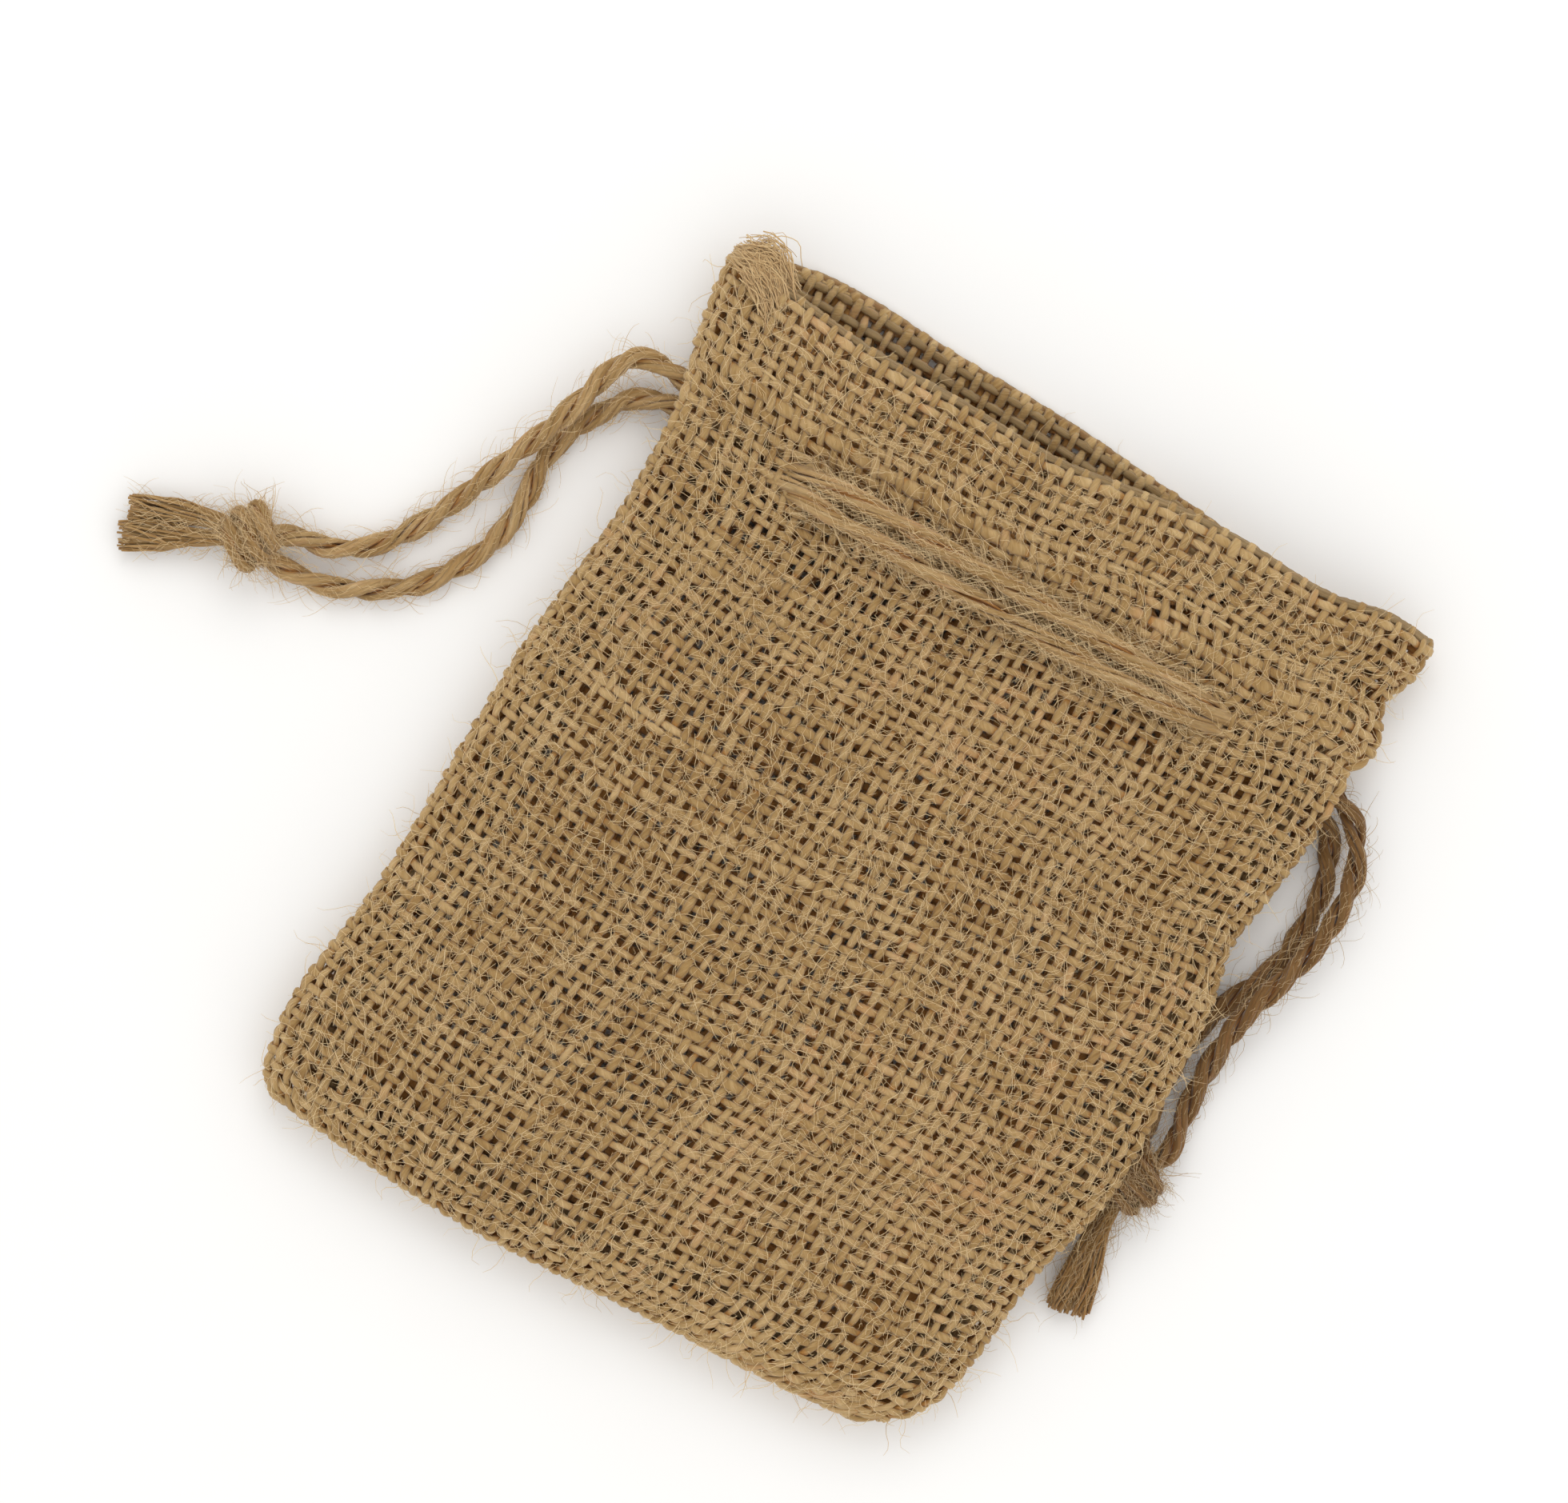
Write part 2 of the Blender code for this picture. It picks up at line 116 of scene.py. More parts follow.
def newPiece(name, verts, quads, uv, litShare, material):
    # a mesh from arrays: corners as rows of verts, four to a face, one uv for each face corner, and
    # how far out of the weave or the twist each vertex lies, from 0 to 1, as its share of light: the
    # materials paint shade where it is low
    mesh = bpy.data.meshes.new(name)
    mesh.vertices.add(len(verts))
    mesh.vertices.foreach_set("co", np.ascontiguousarray(verts, np.float32).ravel())
    mesh.loops.add(quads.size)
    mesh.loops.foreach_set("vertex_index", np.ascontiguousarray(quads, np.int32).ravel())
    mesh.polygons.add(len(quads))
    mesh.polygons.foreach_set("loop_start", np.arange(0, quads.size, 4, dtype=np.int32))
    mesh.update(calc_edges=True)
    layer = mesh.uv_layers.new(name="OFBake")
    layer.uv.foreach_set("vector", np.ascontiguousarray(uv, np.float32).ravel())
    mesh.polygons.foreach_set("use_smooth", np.ones(len(quads), bool))
    attribute = mesh.attributes.new("litShare", "FLOAT", "POINT")
    attribute.data.foreach_set("value", np.ascontiguousarray(litShare, np.float32).ravel())
    mesh.validate()
    piece = bpy.data.objects.new(name, mesh)
    bpy.context.scene.collection.objects.link(piece)
    mesh.materials.append(material)
    return piece


def tubes(centres, normals, wide, thick, sides, uneven=0.0, lift=1.0):
    # centres: tubes x stations x 3. Each ring is an ellipse: across * wide * cos + up * thick * sin,
    # and each corner is moved in or out at random by the share uneven. A vertex's share of light, which the
    # materials turn into painted shade, is its tube's lift there, and less on the tube's lower side: lift *
    # (0.62 + 0.38 sin)
    count, stations = centres.shape[:2]
    along = unit(np.gradient(centres, axis=1))
    across = unit(np.cross(along, normals))
    up = np.cross(across, along)
    turn = 2 * np.pi * np.arange(sides) / sides
    shake = 1 + uneven * rng.normal(0, 1, (count, stations, sides, 1)).clip(-2, 2)
    wide = np.broadcast_to(wide, (count, stations))[:, :, None, None] * shake
    thick = np.broadcast_to(thick, (count, stations))[:, :, None, None] * shake
    verts = (centres[:, :, None] + across[:, :, None] * wide * np.cos(turn)[:, None]
             + up[:, :, None] * thick * np.sin(turn)[:, None])
    lift = np.broadcast_to(lift, (count, stations))[:, :, None]
    litShare = lift * (0.62 + 0.38 * np.sin(turn))
    n, k, a = np.meshgrid(np.arange(count), np.arange(stations - 1), np.arange(sides), indexing="ij")
    b = (a + 1) % sides
    at = (n * stations + k) * sides
    quads = np.stack([at + a, at + sides + a, at + sides + b, at + b], -1).reshape(-1, 4)
    u = np.stack([k, k + 1, k + 1, k], -1) / (stations - 1)
    v = (n[..., None] + np.stack([a, a, a + 1, a + 1], -1) / sides) / count
    uv = np.stack([u, v], -1).reshape(-1, 2)
    m = np.arange(sides // 2 - 1)
    fan = np.stack([m * 0, 2 * m + 1, 2 * m + 2, (2 * m + 3) % sides], 1)
    first = np.arange(count)[:, None, None] * stations * sides
    starts = (first + fan).reshape(-1, 4)
    ends = (first + (stations - 1) * sides + fan[:, ::-1]).reshape(-1, 4)
    rows = np.repeat((np.arange(count) + 0.5) / count, 4 * len(fan))
    capStart = np.stack([np.full(len(rows), 0.0), rows], 1)
    capEnd = np.stack([np.full(len(rows), 1.0), rows], 1)
    quads = np.concatenate([quads, starts, ends])
    return verts.reshape(-1, 3), quads, np.concatenate([uv, capStart, capEnd]), litShare.ravel()


def joined(parts):
    # several parts as one, their uv stacked in equal bands
    verts, quads, uvs, litShare, first = [], [], [], [], 0
    for band, (v, q, uv, e) in enumerate(parts):
        verts.append(v)
        quads.append(q + first)
        uvs.append(np.stack([uv[:, 0], (uv[:, 1] + band) / len(parts)], 1))
        litShare.append(e)
        first += len(v)
    return tuple(np.concatenate(rows) for rows in (verts, quads, uvs, litShare))


# Materials.

class Wire:
    # a socket that takes part in sums: each operator adds one Math node
    def __init__(self, paint, socket):
        self.paint = paint
        self.socket = socket

    def calc(self, operation, *values):
        return self.paint.add("ShaderNodeMath", {"operation": operation}, dict(enumerate(values)))

    def __add__(self, other):
        return self.calc("ADD", self, other)

    def __radd__(self, other):
        return self.calc("ADD", other, self)

    def __sub__(self, other):
        return self.calc("SUBTRACT", self, other)

    def __rsub__(self, other):
        return self.calc("SUBTRACT", other, self)

    def __mul__(self, other):
        return self.calc("MULTIPLY", self, other)

    def __rmul__(self, other):
        return self.calc("MULTIPLY", other, self)

    def __truediv__(self, other):
        return self.calc("DIVIDE", self, other)

    def whole(self):
        return self.calc("FLOOR", self)


class Paint:
    # a material with one Principled shader, and the nodes that feed it
    def __init__(self, name):
        self.material = bpy.data.materials.new(name)
        self.material.use_nodes = True
        self.tree = self.material.node_tree
        self.shader = self.tree.nodes["Principled BSDF"]

    def put(self, socket, value):
        # a link for a wire, a fixed value for the rest
        if isinstance(value, Wire):
            self.tree.links.new(value.socket, socket)
        else:
            socket.default_value = value

    def add(self, kind, settings=None, values=None, output=0):
        # any node: its settings first, then a value or a wire for each socket that is named
        node = self.tree.nodes.new(kind)
        for name, value in (settings or {}).items():
            if name == "stops":
                for k, (place, colour) in enumerate(value):
                    stop = node.color_ramp.elements[k] if k < 2 else node.color_ramp.elements.new(place)
                    stop.position = place
                    stop.color = (*colour, 1)
            else:
                setattr(node, name, value)
        for name, value in (values or {}).items():
            self.put(node.inputs[name], value)
        return Wire(self, node.outputs[output])

    def mix(self, factor, first, second):
        # from the first colour to the second
        return self.add("ShaderNodeMix", {"data_type": "RGBA"}, {0: factor, 6: first, 7: second}, 2)

    def set(self, **values):
        # the shader's own sockets, with _ for each space in a name
        for name, value in values.items():
            self.put(self.shader.inputs[name.replace("_", " ")], value)
        return self.material


def shown(r, g, b):
    # a colour as it looks on screen, 0 to 255, as the linear values that nodes take
    c = np.array([r, g, b]) / 255
    return tuple(float(v) for v in np.where(c < 0.04, c / 12.92, ((c + 0.055) / 1.055) ** 2.4))


def jutePaint(name, look):
    # fibres run round the thread in a slow twist: noise stretched along them colours and lifts them, and sunk
    # and lower parts get painted shade
    paint = Paint(name)
    uvMap = paint.add("ShaderNodeUVMap", {"uv_map": "OFBake"})
    u = paint.add("ShaderNodeSeparateXYZ", None, {0: uvMap}, 0)
    v = Wire(paint, u.socket.node.outputs[1])
    along = u * look["length"]
    around = v * look["threads"]
    row = around.whole()
    twisted = around * look["fibres"] + along * look["twist"]
    fibrePlace = paint.add("ShaderNodeCombineXYZ", None, {0: along * 0.45, 1: twisted, 2: row * 3.7})
    fibre = paint.add("ShaderNodeTexNoise", None, {"Vector": fibrePlace, "Scale": 1.0, "Detail": 3.0,
                                                   "Roughness": 0.65})
    slowPlace = paint.add("ShaderNodeCombineXYZ", None, {0: along * 0.16, 1: row * 7.3, 2: 0.0})
    slow = paint.add("ShaderNodeTexNoise", None, {"Vector": slowPlace, "Scale": 1.0, "Detail": 2.0})
    rowTone = paint.add("ShaderNodeTexWhiteNoise", {"noise_dimensions": "1D"}, {"W": row + 0.5})
    place = paint.add("ShaderNodeTexCoord", None, None, 3)
    cloud = paint.add("ShaderNodeTexNoise", None, {"Vector": place, "Scale": look["cloud"], "Detail": 2.0})
    tone = fibre * 0.62 + slow * 0.6 + rowTone * look["rowTone"] + cloud * 0.2
    shade = np.array(look["shade"])
    stops = [(at, tuple(map(float, shade * colour))) for at, colour in look["stops"]]
    shadeColour = tuple(map(float, shade * look["shadeColour"]))
    litColour = paint.add("ShaderNodeValToRGB", {"stops": stops}, {0: tone - look["centre"]})
    # painted shade: where the mesh's share of light is low (threads that dip under others, lower sides, a
    # cord's inner strands) the colour turns to the darker, browner shade colour
    litShare = paint.add("ShaderNodeAttribute", {"attribute_name": "litShare"}, None, 2)
    inLight = paint.add("ShaderNodeMapRange", {"interpolation_type": "SMOOTHSTEP"},
                        {0: litShare, 1: -0.1, 2: 0.5, 3: 0.0, 4: 1.0})
    base = paint.mix(inLight, (*shadeColour, 1), litColour)
    rust = paint.add("ShaderNodeMapRange", {"interpolation_type": "SMOOTHSTEP"},
                     {0: slow * 0.6 + cloud * 0.4, 1: 0.56, 2: 0.68, 3: 0.0, 4: look["rust"]})
    colour = paint.mix(rust, base, (*map(float, shade * look["rustColour"]), 1))
    height = fibre * 0.8 + slow * 0.2
    bump = paint.add("ShaderNodeBump", None, {"Strength": look["bump"], "Distance": look["bumpDepth"],
                                              "Height": height})
    rough = 0.78 + fibre * 0.2
    paint.set(Sheen_Weight=0.2, Sheen_Roughness=0.5, Specular_IOR_Level=0.2,
              Subsurface_Weight=look["glow"], Subsurface_Radius=(1.0, 0.55, 0.25), Subsurface_Scale=0.0011)
    return paint.set(Base_Color=colour, Roughness=rough, Normal=bump)


juteLook = {
    "length": 127.0, "threads": 54, "fibres": 11.0, "twist": 1.4, "cloud": 38.0,
    "rowTone": 0.15, "centre": 0.36,
    "stops": [(0.12, shown(130, 94, 48)), (0.38, shown(170, 138, 88)),
              (0.62, shown(198, 168, 120)), (0.88, shown(222, 202, 162))],
    # the next colour is painted shade, for the threads' sunk and lower sides
    "shadeColour": shown(184, 130, 66), "rust": 0.35, "rustColour": shown(182, 122, 70),
    "bump": 0.9, "bumpDepth": 0.00028, "glow": 0.14, "shade": (1.0, 1.0, 1.0),
}


def juteVariant(name, **changes):
    # the same jute with some of its settings changed
    return jutePaint(name, {**juteLook, **changes})


# The cloth's surface.

bag = {
    "rounding": 0.016,          # how far in from a side the cloth is still rising
    "baseRounding": 0.012,
    "leftCorner": 0.0035, "rightCorner": 0.0085,
    "lipLift": 0.0011,          # the front panel's rise over its own hem
    "hemDepth": 0.0115, "hemRamp": 0.0040,
    "runDent": 0.00025,         # how far the runs press the front in, and how far it dips at a hole
    "holeDent": 0.00070, "dentHalf": 0.0050,
    "clothHalf": 0.00068,       # from the cloth's middle to its outer face
    "seamGap": 0.00035,         # from the seam's level to the first cloth middle
    "exitGap": (0.0027, 0.0022),   # the same for the front and back, where the cords come out
    "exitHalf": 0.0050, "exitAbove": 0.0010,   # half the length of the opening, and its place over the runs
    "foldRadius": 0.00056,      # of the fold at the lips
    "knotLift": 0.0020, "knotPlace": -0.0150, "knotHalf": 0.0080,   # the right side lies on a knot
    "humpHeight": 0.0033,       # over the runs behind the bag
    "humpHalf": 0.0043,
    "humpRamp": 0.007,
    "holeWide": 0.0018, "holeTall": 0.0029,
    "backHoleShift": 0.0036,
    # how far the finished bag's outline stands off the pattern: (place in mm, offset in mm)
    "left": [(-64, 0.2), (-55, -1.4), (-33, 0.6), (2, 1.5), (31, 3.8), (44, 3.1), (52, 1.0), (60, -0.3),
             (66, -0.4)],
    "right": [(-64, -7.4), (-52, -4.8), (-36, -3.0), (-24, 0.0), (-8, 0.1), (7, -0.7), (15, -2.3),
              (24, -1.2), (34, -0.2), (41, -0.2), (43.6, -0.5), (46, 1.0), (49.2, 1.0), (53.8, -0.8),
              (58.4, 0.8), (66, 0.8)],
    "base": [(-52, 0.6), (-42, -0.5), (-22, -1.8), (7, -0.3), (30, 0.9), (46, 2.6)],
    "frontLip": [(-52, -0.9), (-46, -2.2), (-40, -3.0), (-33, -3.6), (-16, -3.7), (0, -3.7), (7, -2.6),
                 (14, -1.7), (24, -1.1), (39, -0.9), (45, 0.3), (52, 0.1)],
    "backLip": [(-52, -0.6), (-43, 1.5), (-32, 2.3), (-16, 1.8), (5, 1.3), (15, 0.3), (27, -0.9), (39, -0.9),
                (45, 0.3), (52, 0.1)],
}

patternLeft, patternRight = backLow.x + 0.25 * mm, backHigh.x - 0.25 * mm
patternBase, patternMouth = backLow.y + 0.25 * mm, backHigh.y
seamLevel = (seamLow.z + seamHigh.z) / 2
frontFlat = frontHigh.z - bag["lipLift"] - 0.4 * mm
backFlat = bag["clothHalf"] + 0.07 * mm
cordLine = (leftRunLow.y + rightRunHigh.y) / 2
runInner = 6.72 * mm  # from a run's end, inside the bag, back to its hole
holeLeft = leftRunLow.x + runInner
holeRight = leftRunHigh.x - runInner
puffWaves = makeWaves(9, 0.022, 0.060, 0.336 * mm)
skewWaves = makeWaves(7, 0.022, 0.060, 0.45 * mm)
slipWaves = makeWaves(7, 0.022, 0.060, 0.45 * mm)


def roundedSection(width, rounding, height, bothEnds):
    # quarter ellipse, then level: place and rise as shares, against the share of arc length
    d = np.linspace(0, width, 4001)
    rise = np.sqrt(1 - np.clip(1 - d / rounding, 0, 1) ** 2)
    if bothEnds:
        rise = np.minimum(rise, rise[::-1])
    arc = np.concatenate([[0], np.cumsum(np.hypot(np.diff(d), np.diff(rise * height)))])
    return arc / arc[-1], d / width, rise, arc[-1]


clothHeight = frontFlat - seamLevel
acrossArc, acrossPlace, acrossRise, clothWidth = roundedSection(
    patternRight - patternLeft, bag["rounding"], clothHeight, True)
alongArc, alongPlace, alongRise, clothLength = roundedSection(
    patternMouth - patternBase, bag["baseRounding"], clothHeight, False)


def pushed(x, y, centre):
    # the threads round a cord's hole are pushed out: q becomes the cube root of q cubed plus one
    dx, dy = x - centre[0], y - centre[1]
    q = np.maximum(np.hypot(dx / bag["holeWide"], dy / bag["holeTall"]), 0.05)
    grow = (q**3 + 1) ** (1 / 3) / q
    return centre[0] + dx * grow, centre[1] + dy * grow


def frontMiddle(x, y):
    # the height of the front panel away from its edges: level, up over the hem, down by a bell curve
    # under the runs and at each hole, and slow waves
    hemEdge = frontHigh.y - bag["hemDepth"]
    lift = bag["lipLift"] * ease(hemEdge - bag["hemRamp"], hemEdge, y)
    atRuns, atLeft, atRight = (np.exp(-((way / bag["dentHalf"]) ** 2))
                               for way in (y - cordLine, x - holeLeft, x - holeRight))
    dent = atRuns * (bag["runDent"] + bag["holeDent"] * (atLeft + atRight))
    return frontFlat + lift - dent + sumWaves(puffWaves, x, y)


def backMiddle(x, y):
    # flat on the floor, and up over the two runs behind the bag
    across = 1 - ease(bag["humpHalf"], bag["humpHalf"] + bag["humpRamp"], np.abs(y - cordLine))
    ends = ease(holeLeft - bag["humpRamp"], holeLeft, x)
    ends = ends * (1 - ease(holeRight, holeRight + bag["humpRamp"], x))
    return backFlat + bag["humpHeight"] * across * ends


def cornerInset(y, radius):
    # how far a rounded base corner pulls the side in: r - sqrt(r^2 - (r - height above the base)^2)
    above = np.clip(y - patternBase, 0, radius)
    return radius - np.sqrt(radius**2 - (radius - above) ** 2)


def panelPoint(face, s, t):
    # s runs from the left side to the right and t from the base to the lip, both by arc length: a share
    # of the way between the outlines, and a share of the rise from the seam to the panel's middle
    place, riseAlong = np.interp(t, alongArc, alongPlace), np.interp(t, alongArc, alongRise)
    across, riseAcross = np.interp(s, acrossArc, acrossPlace), np.interp(s, acrossArc, acrossRise)
    y = patternBase + (patternMouth - patternBase) * place
    left = patternLeft + mm * smoothCurve(bag["left"], y / mm) + cornerInset(y, bag["leftCorner"])
    right = patternRight + mm * smoothCurve(bag["right"], y / mm) - cornerInset(y, bag["rightCorner"])
    x = left + (right - left) * across
    base = patternBase + mm * smoothCurve(bag["base"], x / mm)
    lip = patternMouth + mm * smoothCurve(bag[f"{face}Lip"], x / mm)
    y = base + (lip - base) * place
    inside = riseAcross * riseAlong
    x = x + sumWaves(skewWaves, x, y) * inside
    y = y + sumWaves(slipWaves, x, y) * inside
    shift = 0.0 if face == "front" else bag["backHoleShift"]
    x, y = pushed(x, y, (holeLeft - shift, cordLine))
    x, y = pushed(x, y, (holeRight + shift, cordLine))
    exitAt = np.exp(-(((y - cordLine - bag["exitAbove"]) / bag["exitHalf"]) ** 4))
    gap = bag["seamGap"] + bag["exitGap"][0 if face == "front" else 1] * exitAt
    overKnot = np.exp(-(((y - bag["knotPlace"]) / bag["knotHalf"]) ** 2))
    raised = bag["knotLift"] * overKnot * ease(0.5, 1, across)
    if face == "front":
        edge = seamLevel + raised + gap
        middle = frontMiddle(x, y)
    else:
        edge = seamLevel + raised - gap
        middle = backMiddle(x, y)
    return np.stack([x, y, edge + (middle - edge) * inside], -1)


def panelFrame(face, s, t):
    # the point and the unit normal, which points out of the bag
    step = 0.002
    point = panelPoint(face, s, t)
    ds = panelPoint(face, np.minimum(s + step, 1), t) - panelPoint(face, np.maximum(s - step, 0), t)
    dt = panelPoint(face, s, np.minimum(t + step, 1)) - panelPoint(face, s, np.maximum(t - step, 0))
    normal = unit(np.cross(ds, dt))
    return point, (normal if face == "front" else -normal)


def hemFrame(face, s, e):
    # e is the way from the lip: half round the fold, then back under the panel
    radius = bag["foldRadius"]
    turn = np.clip(e / radius, 0, np.pi)
    back = np.maximum(e - np.pi * radius, 0)
    out = radius * np.sin(turn)
    down = radius * (1 - np.cos(turn))
    point, normal = panelFrame(face, s, 1 - back / clothLength)
    lipward = np.zeros_like(point)
    lipward[..., 1] = 1
    place = point - normal * down[..., None] + lipward * out[..., None]
    return place, unit(normal * np.cos(turn)[..., None] + lipward * np.sin(turn)[..., None])


foldLength = np.pi * bag["foldRadius"]
foldShare = (foldLength + 0.8 * mm) / clothLength


def clothFrame(face, s, t):
    # the panel, and past its lip the fold
    flat, flatNormal = panelFrame(face, s, np.minimum(t, 1))
    if t.max() <= 1:
        return flat, flatNormal
    fold, foldNormal = hemFrame(face, s, np.maximum(t - 1, 0) * clothLength)
    past = (t > 1)[..., None]
    return np.where(past, fold, flat), np.where(past, foldNormal, flatNormal)


# Woven threads.

weave = {
    "pitch": 0.00195,
    "wide": 0.00053, "thick": 0.00036,   # half sizes of a thread
    "swing": 0.00034,                    # from the cloth's middle to a thread's centre, over or under
    "steps": 4, "sides": 6,
    "jitter": 0.06, "wander": 0.08,      # in pitches
    "uneven": 0.08, "slub": 0.30, "rough": 0.07,
    "backFullness": 1.38,
}
warpCount = round(clothWidth / weave["pitch"])
weftCount = round(clothLength / weave["pitch"])


def threadWidths(count, stations):
    # each thread has its own thickness, with slow swells and a few slubs
    own = 1 + rng.normal(0, weave["uneven"], (count, 1)).clip(-0.2, 0.25)
    swell = drift(count, stations, max(4, stations // 22), 0.07)
    slub = drift(count, stations, max(4, stations // 14), 1.0)
    return own * (1 + swell + weave["slub"] * np.clip(slub - 1.1, 0, 1.2))


def weaveThreads(frameAt, direction, counts, rows, span, phase=0):
    # threads of one direction: frameAt(s, t) gives the cloth, the swing is a cosine that turns over
    # from each crossing thread to the next
    warps, wefts = counts
    across, along = (warps, wefts) if direction == "warp" else (wefts, warps)
    stations = max(9, round((span[1] - span[0]) * along * weave["steps"]) + 1)
    q = np.linspace(span[0], span[1], stations)
    index = np.array(rows, float)[:, None]
    wander = drift(len(rows), stations, max(3, stations // 36), weave["wander"])
    own = index + 0.5 + rng.normal(0, weave["jitter"], index.shape) + wander
    own = np.clip(own / across, 0.25 / across, 1 - 0.25 / across)
    q = np.broadcast_to(q, own.shape)
    s, t = (own, q) if direction == "warp" else (q, own)
    point, normal = frameAt(s, t)
    wave = np.cos(np.pi * (q * along - 0.5 + index + phase))
    if direction == "weft":
        wave = -wave
    wave = wave * (1 - ease(1.0, 1.012, t))
    centres = point + normal * (weave["swing"] * wave)[..., None]
    size = threadWidths(len(rows), stations)
    wide = weave["wide"] * size * (1 + 0.08 * wave)
    thick = weave["thick"] * (0.6 + 0.4 * size)
    # the last value is the threads' share of light: painted shade where a thread dips under the crossing ones
    return centres, normal, wide, thick, 0.5 + 0.5 * wave


# thick stretches of single wefts: (y, from x, to x, gain), in millimetres
thickWefts = [(50.8, -47, 2, 0.45), (48.9, 16, 46, 0.4), (-1.6, -31, -2, 0.5), (13.5, 8, 22, 0.3),
              (-31, -8, 14, 0.35), (-47, 20, 30, 0.3)]


def thicken(wide, thick):
    # each listed stretch swells and thins again over 4 mm at its ends
    x = (patternLeft + (patternRight - patternLeft) * np.linspace(0, 1, wide.shape[1])) / mm
    for y, first, last, gain in thickWefts:
        row = round((y * mm - patternBase) / (patternMouth - patternBase) * weftCount)
        swell = gain * ease(first, first + 4, x) * (1 - ease(last - 4, last, x))
        wide[row] *= 1 + swell
        thick[row] *= 1 + 0.4 * swell


def foldCore(face):
    # one weft lies inside the fold of the lip
    s = np.linspace(0, 1, warpCount * weave["steps"])[None]
    point, normal = panelFrame(face, s, np.ones_like(s))
    centres = point - normal * 0.45 * mm
    centres[..., 1] += 0.28 * mm
    width = threadWidths(1, s.shape[1])
    # the core weft has a share of light of 0.6: painted shade inside the fold
    return tubes(centres, normal, 0.5 * mm * width, 0.46 * mm * width, weave["sides"], weave["rough"], 0.6)


def buildPanel(face):
    # all warps as one piece and all wefts as another
    counts = (warpCount, weftCount)
    made = []
    for direction, rows in (("warp", range(warpCount)), ("weft", range(weftCount))):
        span = (0.0, 1.0 + foldShare if direction == "warp" else 1.0)
        centres, normal, wide, thick, lift = weaveThreads(
            lambda s, t: clothFrame(face, s, t), direction, counts, rows, span)
        wide = wide * (1.0 if face == "front" else weave["backFullness"])
        if direction == "weft" and face == "front":
            thicken(wide, thick)
        name = f"{face}_panel_{direction}"
        look = {"threads": len(rows), "length": clothLength / mm}
        material = juteVariant(name, **look)
        part = tubes(centres, normal, wide, thick, weave["sides"], weave["rough"], lift)
        if direction == "weft":
            part = joined([part, foldCore(face)])
        made.append(newPiece(name, *part, material))
    print("cloth:", face, "panel,", sum(len(p.data.polygons) for p in made), "faces")
    return made


def buildHem(face):
    # the turned-in band of cloth inside the mouth, sewn down at its edge
    wefts = round(bag["hemDepth"] / weave["pitch"])
    counts = (warpCount, wefts)
    parts = []
    for direction, rows in (("warp", range(warpCount)), ("weft", range(wefts))):
        centres, normal, wide, thick, lift = weaveThreads(
            lambda s, t: hemFrame(face, 0.035 + 0.93 * s, foldLength + t * bag["hemDepth"]),
            direction, counts, rows, (0.0, 1.0), phase=weftCount)
        parts.append(tubes(centres, normal, wide, thick, weave["sides"], weave["rough"], lift))
    material = juteVariant(f"{face}_hem", threads=2 * warpCount, length=60.0)
    piece = newPiece(f"{face}_hem_cloth", *joined(parts), material)
    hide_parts(f"{face}_hem")
    print("hem:", face, len(piece.data.polygons), "faces")
    return piece


# Cords.

cord = {
    "step": 0.0005,           # between the rings of a strand
    "plies": 2, "plyOffset": 0.00072,
    "strands": 7, "strandRadius": 0.00037, "strandSides": 5,
    "spreadOut": 0.00043, "spreadRound": 0.00066,   # how far a ply's strands lie from its middle
    "strandTurn": -0.55,      # a ply's own turns for each turn of the cord
    "loose": 0.12, "looseTurn": 0.3, "uneven": 0.14,
    "lay": 0.0128,            # the length of one turn of the plies
    "hairs": 6.5, "hairThickness": 0.000036,   # stray fibres to a millimetre of cord
    "hairLength": (0.0009, 0.0042),            # the shortest, and what the longest has more
}
onFront = leftRunHigh.z - 1.5 * mm
onFloor = 1.66 * mm


def routeCurve(route, step):
    # Catmull-Rom through the route, then points an even step apart along it
    p = np.array(route, float)
    p = np.concatenate([[2 * p[0] - p[1]], p, [2 * p[-1] - p[-2]]])
    q = np.linspace(0, 1, 24, endpoint=False)[None, :, None]
    a, b, c, d = p[:-3, None], p[1:-2, None], p[2:-1, None], p[3:, None]
    curve = b + 0.5 * q * ((c - a) + q * ((2 * a - 5 * b + 4 * c - d) + q * (3 * b - a - 3 * c + d)))
    curve = np.concatenate([curve.reshape(-1, 3), p[-2:-1]])
    arc = np.concatenate([[0], np.cumsum(np.linalg.norm(np.diff(curve, axis=0), axis=1))])
    count = max(8, round(arc[-1] / step))
    at = np.linspace(0, arc[-1], count + 1)
    return np.stack([np.interp(at, arc, curve[:, k]) for k in range(3)], 1), arc[-1]


